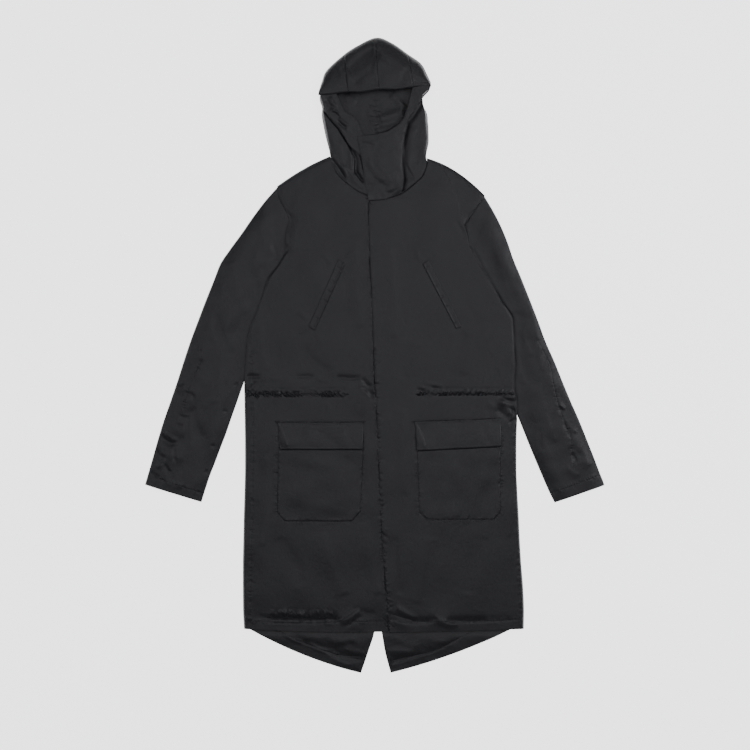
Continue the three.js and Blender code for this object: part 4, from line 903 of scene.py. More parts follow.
sleeveCreases = {
    "right": table(creaseColumns, [
        [-447, -164, -418, -184, 5, 7, 3, -3.2], [-440, -158, -414, -176, 3, 6, 3, 1.8],
        [-460, -196, -438, -216, 3, 8, 4, -2.2], [-420, -194, -418, -222, 2, 4, 3, -1.8],
        [-440, -226, -428, -246, 2, 6, 3, -1.8], [-458, -232, -446, -226, 0, 5, 3, 1.4],
        [-418, -67, -398, -60, 1, 5, 2.5, -1.6], [-409, -66, -397, -78, 2, 6, 3, -2.0],
        [-399, -78, -378, -90, -5, 6, 3, -1.8], [-412, -124, -388, -128, 3, 4, 2.5, -1.6],
        [-416, -144, -402, -148, 0, 4, 2, -1.2], [-392, -134, -394, -172, 0, 5, 3, -1.2],
        [-386, -110, -360, -176, 4, 16, 10, -1.2], [-318, -114, -308, -118, 0, 4, 2, -1.2],
        [-342, -186, -336, -192, 0, 4, 3, -1.4], [-356, -240, -350, -246, 0, 4, 3, -1.4],
        [-294, -58, -288, -62, 0, 4, 3, -1.6], [-281, -50, -278, -54, 0, 4, 3, -1.4],
        [-214, 238, -202, 200, 3, 8, 4, -1.6], [-220, 236, -208, 208, 2, 5, 4, 1.4],
        [-250, 210, -232, 150, 4, 10, 6, 0.9], [-300, 200, -262, 90, 10, 16, 9, 0.9],
        [-250, 280, -226, 200, 5, 14, 8, -0.8], [-330, 90, -300, 0, 6, 13, 8, -0.8],
        [-350, 100, -336, 30, 3, 10, 6, 0.8], [-380, -30, -340, -60, 4, 9, 6, 0.9],
        [-330, -90, -360, -110, 3, 8, 5, 0.9], [-440, -260, -400, -270, 3, 8, 4, 0.9],
        [-474, -240, -450, -254, 2, 6, 3, -1.2], [-230, 130, -250, 70, 3, 8, 5, 0.8]]),
    "left": table(creaseColumns, [
        [301, 176, 344, 34, -5, 8, 6, 1.2], [412, -184, 440, -214, 5, 14, 8, -1.4],
        [386, -107, 396, -116, 1, 5, 3, -1.8], [396, -142, 404, -148, 1, 4, 3, -1.8],
        [406, -150, 412, -172, 1, 5, 3, -2.0], [414, -204, 424, -222, 1, 5, 3, -2.0],
        [398, -112, 386, -100, 0, 4, 3, 1.4], [424, -160, 412, -156, 1, 5, 3, 1.2],
        [260, 210, 300, 90, 8, 16, 9, 0.9], [240, 240, 262, 180, 4, 12, 7, -0.8],
        [330, 40, 350, -40, 5, 12, 7, -0.8], [310, 60, 330, 0, 4, 9, 6, 0.9],
        [360, -120, 380, -180, 4, 10, 6, 0.9], [400, -230, 430, -250, 3, 9, 5, 0.9],
        [440, -200, 456, -230, 3, 8, 5, 1.0], [300, 0, 316, -60, 3, 8, 5, 0.8],
        [346, -150, 352, -200, 2, 8, 5, -0.9], [240, 120, 256, 60, 3, 8, 5, 0.8]]),
}


# press: how far the body's edge presses the sleeve down
sleeveLooks = {
    "right": {"press": 0.5, "cut": (0.5, 0.66, 0.171, [])},
    "left": {"press": 1.4, "cut": (0.46, 0.61, 0.147, [])},
}
# round: radius of the flattened edges; mouthGap, mouthDrop: how far the mouth keeps off the armhole and dips;
# loftFrom, loftOver: where beside the body the loft begins and how softly; leastWall: what no crease cuts
sleeveSize = {"rings": 190, "columns": 66, "width": 130.0, "round": 3.5, "mouthGap": 1.6, "mouthDrop": 0.8,
              "loftFrom": 12, "loftOver": 45, "shoulderRise": 1.7, "leastWall": 2.2}


def makeSleeve(half):
    # each ring: pressed edges rounded over a few millimetres, upper face lofted, lower face on the floor
    side = sideOf[half]
    look = sleeveLooks[half]
    rows = sleeveRows[half]
    middleX = (rows["innerX"] + rows["outerX"]) / 2
    middleY = (rows["innerY"] + rows["outerY"]) / 2
    knots = np.concatenate([[0], np.cumsum(np.hypot(np.diff(middleX), np.diff(middleY)))])
    at = spacing(knots[-1], 3.0, [], sleeveSize["rings"])
    read = {name: smoothRead(knots, values, at)[:, None] for name, values in rows.items()}
    ring = np.interp(at, knots, np.arange(len(knots)))[:, None]
    width = np.hypot(read["outerX"] - read["innerX"], read["outerY"] - read["innerY"])
    flat = sleeveSize["width"]
    upper = spacing(flat, 2.3, [(0.0, 5.0, 0.8), (flat - 5.0, flat, 0.8)], sleeveSize["columns"]) / flat
    lower = upper[-2:0:-1][::3]
    mouthX = readTable(armhole[half], "y", "x", mix(rows["outerY"][0], rows["innerY"][0], armholeStations))
    mouthX = mouthX - side * sleeveSize["mouthGap"]

    def outline(share):
        # straight across from the outer to the inner row, bent near the mouth to the armhole's curve
        curve = np.interp(share, armholeStations, mouthX) - mix(rows["outerX"][0], rows["innerX"][0], share)
        bend = np.maximum(0, 1 - ring / 4) ** 2
        x = mix(read["outerX"], read["innerX"], share) + curve * bend
        y = mix(read["outerY"], read["innerY"], share)
        return x, y

    share = upper[None, :]
    x, y = outline(share)
    free = np.minimum(share, 1 - share) * width
    outside = side * (x - readTable(frontRows[half], "outerY", "outerX", y))
    fromMouth = soft((rows["outerY"][0] - read["outerY"]) / 40)
    clear = soft((outside - sleeveSize["loftFrom"]) / sleeveSize["loftOver"])
    loft = quarter(free / lay["sleeveRoll"]) * clear * fromMouth
    top = lay["sleeveEdge"] + (lay["sleeveLoft"] + foldHeight(sleeveFolds, x, y)) * loft
    nearBody = 1 - soft(outside / 70)
    top = top + sleeveSize["shoulderRise"] * nearBody * soft((y - lay["foldStart"] + 20) / 30)
    # the cloth is pressed down along the edge of the body lying on it
    top = top - look["press"] * bell((outside - 1) / 2.6) * soft((lay["foldStart"] - 40 - y) / 40)
    detail = creaseHeight(sleeveCreases[half], x, y) + swell(x, y, 70 + side, 90, 0.7)
    for seam in sleeveSeams[half]:
        detail = detail + seamHeight(x, y, seam)
    shown = soft((outside + 1) / 9)
    detail = np.maximum(detail, -(top - sleeveSize["leastWall"])) * quarter(free / 9 + 0.12) * shown
    middle = lay["sleeveEdge"] / 2
    rounded = quarter(free / sleeveSize["round"])
    mouth = clamp(1 - ring / 0.08)
    z = middle + (top - middle) * rounded + detail * rounded - sleeveSize["mouthDrop"] * mouth
    lowX, lowY = outline(lower[None, :])
    lowFree = np.minimum(lower, 1 - lower)[None, :] * width
    lowZ = middle * (1 - quarter(lowFree / sleeveSize["round"]))
    points = np.concatenate([stackPoints(x, y, z), stackPoints(lowX, lowY, lowZ)], axis=1)
    addSheet(f"sleeve_{half}", points, shellCloth, ring=True, thickness=lay["thinCloth"],
             seams=sleeveSeams[half])


# Patch pockets, flaps and chest welts: each lies on the front's own face
pocketRows = {
    "right": table("y innerX outerX", [
        [-153, -24.8, -202], [-190, -25, -202.6], [-235, -26, -203.5], [-285, -29, -204.6],
        [-326, -31.2, -205], [-336, -39, -199], [-346.5, -48.3, -188.6]]),
    "left": table("y innerX outerX", [
        [-152, 87.6, 262.6], [-190, 88.2, 263], [-235, 89.5, 263.2], [-285, 91.6, 263.4],
        [-325, 93, 263.4], [-334, 101, 256], [-343.5, 110.3, 248.2]]),
}
pocketLooks = {
    "right": {"seed": 81, "cut": (0.178, 0.194, 0.034, ["front_right"])},
    "left": {"seed": 82, "cut": (0.175, 0.192, 0.0333, ["front_left"])},
}
pocketSize = {"width": 177.0, "length": 193.5, "columns": 88, "rows": 104, "edgeRise": 0.35, "rise": 1.1,
              "edge": 3.5}


def outlineDistance(path, x, y):
    # distance to the nearest side of a closed outline
    closed = list(path) + [path[0]]
    return pathPlace(closed, x, y)[1]


def makePocket(half):
    # the front's face, plus a rise that starts low at the sewn edge, plus a puff and the seam's puckers
    rows = pocketRows[half]
    look = pocketLooks[half]
    width, length = pocketSize["width"], pocketSize["length"]
    down = spacing(length, 2.4, [(36.0, 50.0, 0.9), (170.0, length, 1.6)], pocketSize["rows"])
    y = (rows["y"][0] - down)[:, None]
    inner = readTable(rows, "y", "innerX", y)
    outer = readTable(rows, "y", "outerX", y)
    shares = spacing(width, 2.3, [(0.0, 14.0, 1.5), (163.0, width, 1.5)], pocketSize["columns"]) / width
    x = mix(inner, outer, shares[None, :])
    y = y + 0 * x
    outline = [(inner[0, 0], 40.0 + rows["y"][0]), *zip(rows["innerX"], rows["y"]),
               *zip(rows["outerX"][::-1], rows["y"][::-1]), (outer[0, 0], 40.0 + rows["y"][0])]
    distance = pathPlace(outline, x, y)[1]
    rise = mix(pocketSize["edgeRise"], pocketSize["rise"], quarter(distance / pocketSize["edge"]))
    share = shares[None, :]
    fall = (down / down[-1])[:, None]
    puff = lay["pocketPuff"] * np.sin(np.pi * share) * np.sin(np.pi * fall)
    seam = {"path": outline, "groove": 0.1, "width": 1.6, "pitch": 10, "pucker": 0.55, "reach": 5,
            "seed": look["seed"], "tick": 5, "tickReach": 4.0, "line": 0.2}
    detail = seamHeight(x, y, seam) * quarter(distance / 2.5)
    detail = detail + swell(x, y, look["seed"], 80, 0.5) * quarter(distance / 10)
    z = onPocket(half, x, y) + rise + puff + detail
    addSheet(f"pocket_{half}", stackPoints(x, y, z), shellCloth, thickness=lay["thinCloth"],
             seams=[seam])


def pocketBase(half, x, y):
    # the front's face under a pocket: the solid's, with its slow swell but no puckers
    slow = swell(x, y, body["swellSeed"] + sideOf[half], body["swellLength"], body["swellSize"])
    return bodyUnderside(half, x, y) + lay["wall"] + slow


def onPocket(half, x, y):
    # the same, with the groove that the flap presses
    return pocketBase(half, x, y) + pressedByFlap(half, x, y)


flapCreases = {
    "right": table(creaseColumns, [
        [-203, -142, -196, -194, 1, 5, 2, -1.1], [-204, -140, -182, -193, -2, 6, 2, 1.3],
        [-150, -150, -120, -156, 2, 9, 5, 0.5], [-100, -165, -60, -160, 2, 9, 5, 0.5],
        [-60, -146, -40, -190, 3, 8, 5, -0.4]]),
    "left": table(creaseColumns, [
        [84, -142, 90, -194, 1, 5, 2, -0.9], [84, -140, 106, -193, -2, 6, 2, 0.9],
        [140, -150, 170, -156, 2, 9, 5, 0.5], [180, -170, 230, -160, 2, 9, 5, 0.5],
        [226, -140, 244, -186, 3, 8, 5, -0.4]]),
}


def fourSided(corners, across, down):
    # places between four corners: top inner, top outer, low inner, low outer
    topIn, topOut, lowIn, lowOut = [np.array(corner, float) for corner in corners]
    share = across[None, :, None]
    fall = down[:, None, None]
    place = mix(mix(topIn, topOut, share), mix(lowIn, lowOut, share), fall)
    return place[..., 0], place[..., 1]


flapSize = {"width": 180.0, "length": 56.0, "columns": 92, "rows": 38, "thickness": 0.8,
            "topRise": 0.6, "edgeDrop": 0.5, "stitchAt": 5, "stitchDepth": 0.15, "cut": (0.181, 0.06, 0.0106)}


def makeFlap(half):
    # sewn down along its top, lying on the pocket below, its free edges turned and a little raised
    width, length = flapSize["width"], flapSize["length"]
    across = spacing(width, 2.2, [(0.0, 8.0, 1.2), (172.0, width, 1.2)], flapSize["columns"]) / width
    down = spacing(length, 1.7, [(50.0, length, 1.0)], flapSize["rows"]) / length
    x, y = fourSided(flapCorners[half], across, down)
    fall = down[:, None]
    share = across[None, :]
    sewn = fall * length
    sides = np.minimum(share, 1 - share) * width
    free = np.minimum(sides, (1 - fall) * length)
    lift = mix(flapSize["topRise"], lay["layerGap"] + 2 * lay["wall"] + lay["pocketPuff"], soft(sewn / 45))
    stitched = bell((free - flapSize["stitchAt"]) / 1.2), bell((sewn - flapSize["stitchAt"]) / 1.2)
    edge = -flapSize["edgeDrop"] * (1 - quarter(free / 2))
    edge = edge - flapSize["stitchDepth"] * stitched[0] - flapSize["stitchDepth"] * stitched[1]
    detail = creaseHeight(flapCreases[half], x, y) * quarter(sewn / 6)
    detail = detail + swell(x, y, 90 + sideOf[half], 60, 0.45) * quarter(sewn / 12)
    seam = {"path": [flapCorners[half][0], flapCorners[half][1]], "groove": 0.2, "width": 1.8,
            "pitch": 12, "pucker": 0.4, "reach": 6, "seed": 92 + sideOf[half]}
    z = pocketBase(half, x, y) + lift + edge + detail + seamHeight(x, y, seam) * quarter(sewn / 3)
    addSheet(f"pocket_flap_{half}", stackPoints(x, y, z), shellCloth,
             thickness=flapSize["thickness"], seams=[seam])


weltCorners = {
    "right": [(-76.9, 203.7), (-62.2, 193.2), (-140.7, 60.9), (-126, 52.5)],
    "left": [(98.7, 193.2), (111.3, 201.6), (169.7, 56.7), (182.1, 60.3)],
}
# tacks: share down the welt where a short cross fold is
weltLooks = {
    "right": {"tacks": (0.1, 0.3, 0.44, 0.58, 0.84), "mouth": 1, "seed": 101},
    "left": {"tacks": (0.08, 0.36, 0.52, 0.66, 0.92), "mouth": 0, "seed": 102},
}


weltSize = {"width": 17.0, "length": 156.0, "columns": 16, "rows": 92, "edgeRise": 0.45, "rise": 0.85,
            "mouthRise": 0.7, "edgeDrop": 0.5, "tackDepth": 1.3, "tackWidth": 1.5,
            "cut": (0.018, 0.157, 0.0027)}


def makeWelt(half):
    # a low strip on the front, raised along its mouth, drawn in at its other edges and at each tack
    look = weltLooks[half]
    width, length = weltSize["width"], weltSize["length"]
    across = spacing(width, 1.3, [], weltSize["columns"]) / width
    down = spacing(length, 1.7, [], weltSize["rows"]) / length
    x, y = fourSided(weltCorners[half], across, down)
    share = across[None, :]
    fall = down[:, None]
    side = np.minimum(share, 1 - share) * width
    ends = np.minimum(fall, 1 - fall) * length
    mouth = (1 - share if look["mouth"] else share) * width
    rise = mix(weltSize["edgeRise"], weltSize["rise"], quarter(np.minimum(side, ends) / 2.5))
    z = pocketBase(half, x, y) + rise
    z = z + weltSize["mouthRise"] * bell((mouth - 2.5) / 2.5)
    z = z - weltSize["mouthRise"] * (1 - quarter(mouth / 1.5))
    z = z - weltSize["edgeDrop"] * (1 - quarter(np.minimum(width - mouth, ends) / 1.2))
    for tack in look["tacks"]:
        crossFold = bell((fall - tack) * length / weltSize["tackWidth"])
        z = z - weltSize["tackDepth"] * crossFold * bell((mouth - 5) / 5)
    addSheet(f"chest_welt_{half}", stackPoints(x, y, z), shellCloth,
             thickness=lay["thinCloth"])


# Hood: each panel runs from the brim over the crown and back along the floor to the neck
hoodRows = table("topX topY brimX brimY neckX neckY", [
    [-117.3, 557, -118.6, 545, -93.5, 421.5], [-111.5, 576, -108, 545.6, -88, 420],
    [-101, 600, -92, 547, -78, 417.5], [-65, 632, -56.7, 551.5, -50, 413], [-35, 651, -27, 551, -25, 409.5],
    [3, 666.8, 8.4, 557, 3, 407], [35, 656, 44, 557, 28, 408], [69, 633, 79.8, 562, 52, 412],
    [96, 614, 97, 563.5, 78, 417.5], [108, 592, 108, 564.5, 95, 420], [116.8, 573, 117.3, 564, 106, 421]])
hoodProfile = table("reach height", [
    [1, 1], [0.72, 1.0], [0.45, 0.93], [0.24, 0.78], [0.11, 0.6], [0.035, 0.4], [0, 0.2]])
# sideFall: slope of the left side panel; brimDrop: how far the brim's edge rolls under; hem: its stitched line;
# draw: how far the back's edge draws in under the brim's left corner, round the Y of drawAt
hoodLook = {"sideFrom": 72, "sideFall": 0.13, "brimDrop": 1.6, "hemAt": 9, "hemDepth": 0.5, "draw": 25,
            "drawAt": 543, "drawUp": 16, "drawDown": 24, "innerRise": 0.3}
# stretches of a panel's length, from the brim at 0 over the ridge at 6 to the neck at 12, and their rows
hoodStretches = [(0, 6, 46), (6, 8, 9), (8, 9.5, 14), (9.5, 10.9, 76), (10.9, 12, 10)]
hoodSeams = {
    "centre": [(0, 666), (4, 600), (8, 560)],
    "right": [(-65, 632), (-61, 590), (-56, 551)],
    "left": [(69, 633), (75, 600), (80, 562)],
}
hoodCreases = table(creaseColumns, [
    [0, 650, 68, 600, 2, 7, 9, 1.2], [4, 646, -58, 594, 6, 9, 21, -3.0], [-2, 606, -48, 568, 0, 5, 8, -0.8],
    [1, 618, 58, 588, 0, 14, 12, 1.9], [88, 606, 108, 600, 1, 6, 4, 0.5], [-84, 602, -72, 586, 1, 6, 4, -0.9],
    [-2, 655, 0, 632, 1, 4, 3, 0.9], [-70, 606, -60, 584, 2, 5, 8, -1.3],
    [-96, 590, -70, 566, 4, 10, 6, 0.8],
    [-30, 560, 10, 562, 2, 5, 3, 0.7]])
innerCreases = table(creaseColumns, [
    # inside of the back of the hood, seen through the face opening
    [-2, 538, 10, 533, 1, 3, 1.8, 0.9], [-11, 527, 4, 521, 1, 3, 1.8, 1.1], [-3, 515, 14, 511, 1, 3, 1.8, 1.1],
    [-12, 504, 8, 500, 2, 3, 1.8, 1.2], [-10, 493, 4, 490, 1, 3, 1.8, 1.0], [-5, 483, 10, 486, 1, 3, 1.8, 1.0],
    [34, 554, 66, 522, 2, 9, 4, 2.4], [6, 498, 62, 516, 2, 12, 9, 3.2], [0, 474, 44, 482, 2, 10, 7, 2.4],
    [-62, 546, -40, 532, 0, 10, 5, 1.8], [-16, 520, -2, 470, 2, 3, 9, 0.7]])


def crossRead(values, at):
    # Catmull-Rom through evenly numbered points along the first axis
    base = np.minimum(np.floor(at).astype(int), len(values) - 2)
    share = (at - base).reshape((-1,) + (1,) * (values.ndim - 1))
    before = values[np.maximum(base - 1, 0)]
    here = values[base]
    after = values[base + 1]
    last = values[np.minimum(base + 2, len(values) - 1)]
    return here + 0.5 * share * (after - before + share * (
        2 * before - 5 * here + 4 * after - last + share * (3 * (here - after) + last - before)))


# fromRow, toRow: the stretch of hoodRows that a panel covers; gaps: how far its ends move off them
hoodPanels = {
    "hood_side_right": {"fromRow": 0, "toRow": 3, "columns": 56, "gaps": (0, 0.1),
                        "cut": (0.085, 0.27, 0.0148, ["back_right"])},
    "hood_crown_right": {"fromRow": 3, "toRow": 5, "columns": 50, "gaps": (-0.1, 0.1),
                         "cut": (0.085, 0.35, 0.0228, ["back_right"])},
    "hood_crown_left": {"fromRow": 5, "toRow": 7, "columns": 50, "gaps": (-0.1, 0.1),
                        "cut": (0.085, 0.35, 0.022, ["back_left"])},
    "hood_side_left": {"fromRow": 7, "toRow": 10, "columns": 56, "gaps": (-0.1, 0),
                       "cut": (0.085, 0.26, 0.0134, ["back_left"])},
}


def makeHoodPanel(name):
    # each column runs from the brim up the profile to the ridge, down and back along the floor to the neck;
    # creases and seams are added to its upper part, and the folds of the inside to its floor part
    panel = hoodPanels[name]
    columns = panel["columns"]
    steps = np.linspace(panel["fromRow"], panel["toRow"], columns)
    read = {column: crossRead(values, steps) for column, values in hoodRows.items()}
    shift = np.linspace(*panel["gaps"], columns)
    top = np.stack([read["topX"] + shift, read["topY"]], axis=-1)
    brim = np.stack([read["brimX"] + shift, read["brimY"]], axis=-1)
    neck = np.stack([read["neckX"] + shift, read["neckY"] - 4], axis=-1)
    reach = np.hypot(*(top - brim).T)
    depth = np.hypot(*(top - neck).T)
    tight = np.minimum(1, reach / 40)
    control = []
    for share, height in zip(hoodProfile["reach"], hoodProfile["height"]):
        level = np.full((columns, 1), height * lay["hoodBrim"])
        control.append(np.concatenate([mix(top, brim, share), level], axis=1))
    for distance, height in ((1.4 * tight, 1.0), (np.full(columns, 4.0), 0.0)):
        place = mix(top, neck, (distance / depth)[:, None])
        control.append(np.concatenate([place, np.full((columns, 1), height)], axis=1))
    for share in (0.3, 0.6, 0.85, 1.0):
        control.append(np.concatenate([mix(top, neck, share), np.zeros((columns, 1))], axis=1))
    control = np.array(control)
    at = np.concatenate([[0.0], *[np.linspace(start, end, count)[1:] for start, end, count in hoodStretches]])
    points = crossRead(control, at)
    upper = (at < 6)[:, None] * quarter((6 - at) / 1.5)[:, None]
    x = points[..., 0]
    y = points[..., 1]
    fromBrim = np.hypot(x - brim[None, :, 0], y - brim[None, :, 1])
    detail = creaseHeight(hoodCreases, x, y) + swell(x, y, 110, 60, 0.5)
    for seed, path in enumerate(hoodSeams.values()):
        detail = detail + seamHeight(x, y, {"path": path, "groove": 0.8, "width": 1.1, "pitch": 13,
                                            "pucker": 0.3, "reach": 6, "seed": 120 + seed})
    # the side panel at the left falls away a little toward its corner
    beyond = x - hoodLook["sideFrom"]
    detail = detail - hoodLook["sideFall"] * np.maximum(beyond, 0) * soft(beyond / 12)
    # the brim's edge is turned in and sewn, and rolls under
    detail = detail - hoodLook["hemDepth"] * bell((fromBrim - hoodLook["hemAt"]) / 1.3)
    detail = detail - hoodLook["brimDrop"] * (1 - quarter(fromBrim / 3))
    floorPart = soft((at - 8) / 1.2)[:, None]
    inner = creaseHeight(innerCreases, x, y) + swell(x, y, 111, 60, 0.25) + hoodLook["innerRise"]
    inner = np.maximum(inner, 0) * soft((y - 440) / 20) * floorPart
    # the back's edge draws in under the brim's left corner
    above = y - hoodLook["drawAt"]
    drawn = hoodLook["draw"] * bell(above / np.where(above > 0, hoodLook["drawUp"], hoodLook["drawDown"]))
    points[..., 0] = x - drawn * soft((x - 76) / 42) * floorPart
    points[..., 2] = np.maximum(points[..., 2], 0) + detail * upper + inner
    seams = [{"path": path, "ticks": 0.12, "tickReach": 5.0, "line": 0.45} for path in hoodSeams.values()]
    addSheet(name, points, shellCloth, upward=False, seams=seams)


# Collar: its pieces lie on the hood's back at the outline and climb to the brim
collarOutline = {
    "right": table("y x", [
        [557, -117.5], [544, -118.5], [522, -111], [507, -112], [458, -103], [421, -94],
        [413, -93.5], [384, -81], [360, -57], [337, -17]]),
    "left": table("y x", [
        [573, 117], [563, 117], [546, 100], [528, 101], [502, 109], [458, 113], [418, 107.5],
        [405, 109], [380, 101], [357, 78], [339.5, 55]]),
}


def insideOutline(x, y):
    # distance of a place inside the collar's outline
    right = -(readTable(collarOutline["right"], "y", "x", y) - x)
    left = readTable(collarOutline["left"], "y", "x", y) - x
    return np.where(x < 5, right, left)


def rollWidth(x, y):
    # the collar rolls down over its usual way, and over a shorter one beside the brim's left corner
    return mix(lay["collarRoll"], lay["brimRoll"], soft((y - 490) / 30) * (x > 5))


def collarUnderside(x, y):
    # foot height plus a soft climb, rolled down at the outline above the neck seam
    climb = lay["collarRise"] * soft((y - lay["collarLow"]) / (lay["collarHigh"] - lay["collarLow"]))
    rolled = soft(insideOutline(x, y) / rollWidth(x, y) + 0.3)
    rolled = mix(1, rolled, soft((y - lay["neckTop"] + 4) / 16))
    return lay["bodyFloor"] + (lay["collarFoot"] + climb) * rolled


def layerOnRoll(x, y):
    # a layer on the collar stands off more where the collar rolls down
    return lay["rollExtra"] * (1 - soft(insideOutline(x, y) / (1.7 * rollWidth(x, y))))


collarPieces = {
    "collar_side_right": {
        "rows": table("innerX innerY outerX outerY", [
            [-104, 515, -110.3, 520.5], [-90, 505, -111.7, 507], [-70, 482, -108, 482], [-55, 458, -103, 458],
            [-42, 437, -97.8, 438], [-33, 420, -93.9, 422], [-28, 400, -92.9, 413], [-22, 380, -80, 384.8],
            [-15, 362, -56.3, 361], [-10, 350, -37.4, 347.4], [-9, 341, -17.5, 338.2]]),
        "size": (90, 46), "cut": (0.065, 0.19, 0.0086, ["hood_side_right"]), "seed": 131,
        "creases": table(creaseColumns, [
            [-94, 414, -62, 368, -3, 6, 3, -2.8], [-90, 424, -58, 376, -3, 5, 3, 1.8],
            [-114, 522, -94, 496, 0, 1.6, 8, -4.0], [-96, 498, -76, 476, 0, 1.6, 8, -4.4],
            [-78, 479, -50, 434, 0, 1.8, 8, -4.8], [-56, 444, -39, 411, 0, 1.8, 5, -4.6],
            [-40, 414, -41, 382, 0, 2.5, 5, -4.6], [-42, 388, -25, 364, 0, 2, 4, -4.2],
            [-52, 432, -49, 386, 0, 3, 2, 0.8], [-70, 450, -58, 384, 6, 7, 4, 0.8],
            [-100, 480, -76, 440, 4, 8, 5, 1.0], [-66, 400, -40, 360, -3, 5, 3, 1.2],
            [-98, 450, -70, 400, 4, 9, 5, -1.2], [-40, 372, -22, 350, 2, 5, 3, 1.0]]),
    },
    "collar_side_left": {
        "rows": table("innerX innerY outerX outerY", [
            [90, 530, 99.6, 538], [82, 521, 100.8, 528], [64, 498, 109.2, 502], [54, 473, 112.3, 478],
            [50, 448, 112.8, 452], [46, 418, 107.2, 418.3], [48, 394, 108.2, 405], [50, 372, 100.2, 380.4],
            [48, 356, 77.4, 357.8], [47, 347, 60, 345]]),
        "size": (90, 46), "cut": (0.065, 0.2, 0.0095, ["hood_side_left"]), "seed": 132,
        "creases": table(creaseColumns, [
            [100, 538, 70, 490, -2, 8, 6, -4.2], [71, 493, 61, 460, 0, 8, 6, -4.8],
            [61.5, 466, 58, 398, 0, 8, 6, -5.0], [58, 404, 61, 367, 0, 8, 6, -5.0],
            [61.5, 373, 56, 340, 0, 8, 5, -4.6], [62, 410, 82, 372, 1, 4, 1.5, -1.6],
            [68, 392, 76, 366, 1, 4, 2, -1.0], [98, 378, 108, 402, 1, 4, 2, -1.8],
            [86, 480, 76, 430, 4, 9, 5, 1.0], [70, 500, 66, 450, 2, 7, 4, -1.2],
            [96, 440, 88, 400, 3, 8, 5, -0.8], [60, 440, 64, 396, 2, 5, 3, 1.2]]),
    },
    "collar_facing_right": {
        "rows": table("innerX innerY outerX outerY", [
            [-84, 560, -110, 554], [-79, 545, -116, 540], [-70, 525, -110.6, 521.5], [-62, 511, -92.4, 497],
            [-46, 502, -75.6, 478], [-34, 484, -61, 452.6], [-26, 463, -50.4, 436.8], [-18, 445, -38, 426],
            [-10, 432, -28, 417]]),
        "size": (90, 34), "cut": (0.045, 0.16, 0.0058, ["collar_side_right"]), "seed": 133,
        "creases": table(creaseColumns, [
            [-101, 541, -88, 518, 2, 6, 3, -1.8], [-92, 543, -80, 520, 2, 6, 3, 1.6],
            [-92, 516, -74, 504, -3, 4, 2, 1.4], [-90, 510, -74, 498, -3, 4, 2, -1.6],
            [-78, 494, -60, 478, 2, 4, 2.5, -2.2], [-74, 500, -54, 482, 2, 4, 2.5, 1.4],
            [-60, 478, -40, 456, 2, 5, 3, 0.8], [-104, 526, -94, 512, 1, 5, 3, -1.0]]),
    },
    "chin_guard_left": {
        "rows": table("innerX innerY outerX outerY bow", [
            [-14, 327, 54.6, 341.4, -4], [-17.2, 346, 57, 354, 0], [-22, 371.7, 59.6, 369, 0],
            [-26.7, 405, 56, 400, 0], [-32.6, 432.6, 57.5, 430, 0], [-37, 460, 60, 464, 0],
            [4, 464.5, 63.5, 478, 0], [29.4, 474.6, 67, 489, 0], [45.6, 485, 73, 501, 0],
            [58.8, 498.5, 82, 515, 0], [67.2, 520, 93, 530, 0], [72.7, 541.8, 101, 545, 0],
            [78, 561, 111, 558, 0], [80, 573, 112.5, 568, 0]]),
        "size": (120, 62), "seed": 134,
        "cut": (0.11, 0.25, 0.0146, ["collar_side_left", "collar_facing_right"]),
        "creases": table(creaseColumns, [
            [-28, 444, -4, 438, -4, 5, 3, -0.9],
            [-26, 450, 2, 444, -3, 5, 3, 0.8], [26, 340, 50, 352, 3, 5, 3, -1.2],
            [22, 348, 40, 356, 2, 4, 3, 0.8], [-14, 414, 22, 368, 6, 14, 5, 1.3],
            [-20, 404, 30, 352, 7, 8, 4, -0.9], [-20, 358, 0, 362, 2, 4, 2, -0.8],
            [-16, 345, 0, 348, 1, 4, 2, 0.7], [6, 460, 36, 440, 3, 9, 5, 0.7],
            [2, 400, 34, 364, -4, 6, 3, 0.7], [34, 466, 50, 430, 0, 11, 9, 0.8],
            [32, 430, 50, 392, 0, 11, 9, 0.9], [32, 388, 48, 356, 0, 11, 9, 0.7]]),
    },
}


collarDrop = (0.25, 0.6)  # how far the pieces' edges bend down, by the neck seam and above it


def makeCollarPiece(name, above):
    # the collar's height plus the layers under this piece, with its creases, and its edges bent down a little
    look = collarPieces[name]
    down, across = look["size"]
    shares = np.linspace(0, 1, across)
    x, y = rowGrid(look["rows"], shares, down, 3.0, [])
    z = collarUnderside(x, y) + lay["wall"] + above(x, y, shares[None, :])
    rows = look["rows"]
    outline = [*zip(rows["innerX"], rows["innerY"]), *zip(rows["outerX"][::-1], rows["outerY"][::-1])]
    distance = outlineDistance(outline, x, y)
    detail = creaseHeight(look["creases"], x, y) + swell(x, y, look["seed"], 50, 0.4)
    closed = [*outline, outline[0]]
    detail = detail + seamHeight(x, y, {"path": closed, "groove": 0.0, "pitch": 15, "pucker": 0.5,
                                        "reach": 5, "seed": look["seed"]})
    edgeDrop = mix(*collarDrop, soft((y - 400) / 30))
    z = z + detail * quarter(distance / 6 + 0.3) - edgeDrop * (1 - quarter(distance / 2.0))
    addSheet(name, stackPoints(x, y, z), shellCloth, thickness=lay["thinCloth"])


def sideAbove(x, y, share):
    # nothing: a collar side is the lowest layer
    return 0


def facingAbove(x, y, share):
    # one layer over the collar side
    return lay["wall"] + lay["layerGap"] + layerOnRoll(x, y)


def chinAbove(x, y, share):
    # one layer over the collar side, two over the facing, with a bulge over the throat
    onFacing = (lay["wall"] + lay["layerGap"] + 0.4) * soft((2 - x) / 40)
    bulge = lay["chinBulge"] * np.sin(np.pi * share) * soft((520 - y) / 80)
    clear = soft((y - 326 - 0.2 * np.maximum(x, 0)) / 50)
    return facingAbove(x, y, share) * mix(0.65, 1, clear) + onFacing * mix(0.5, 1, clear) + bulge * clear


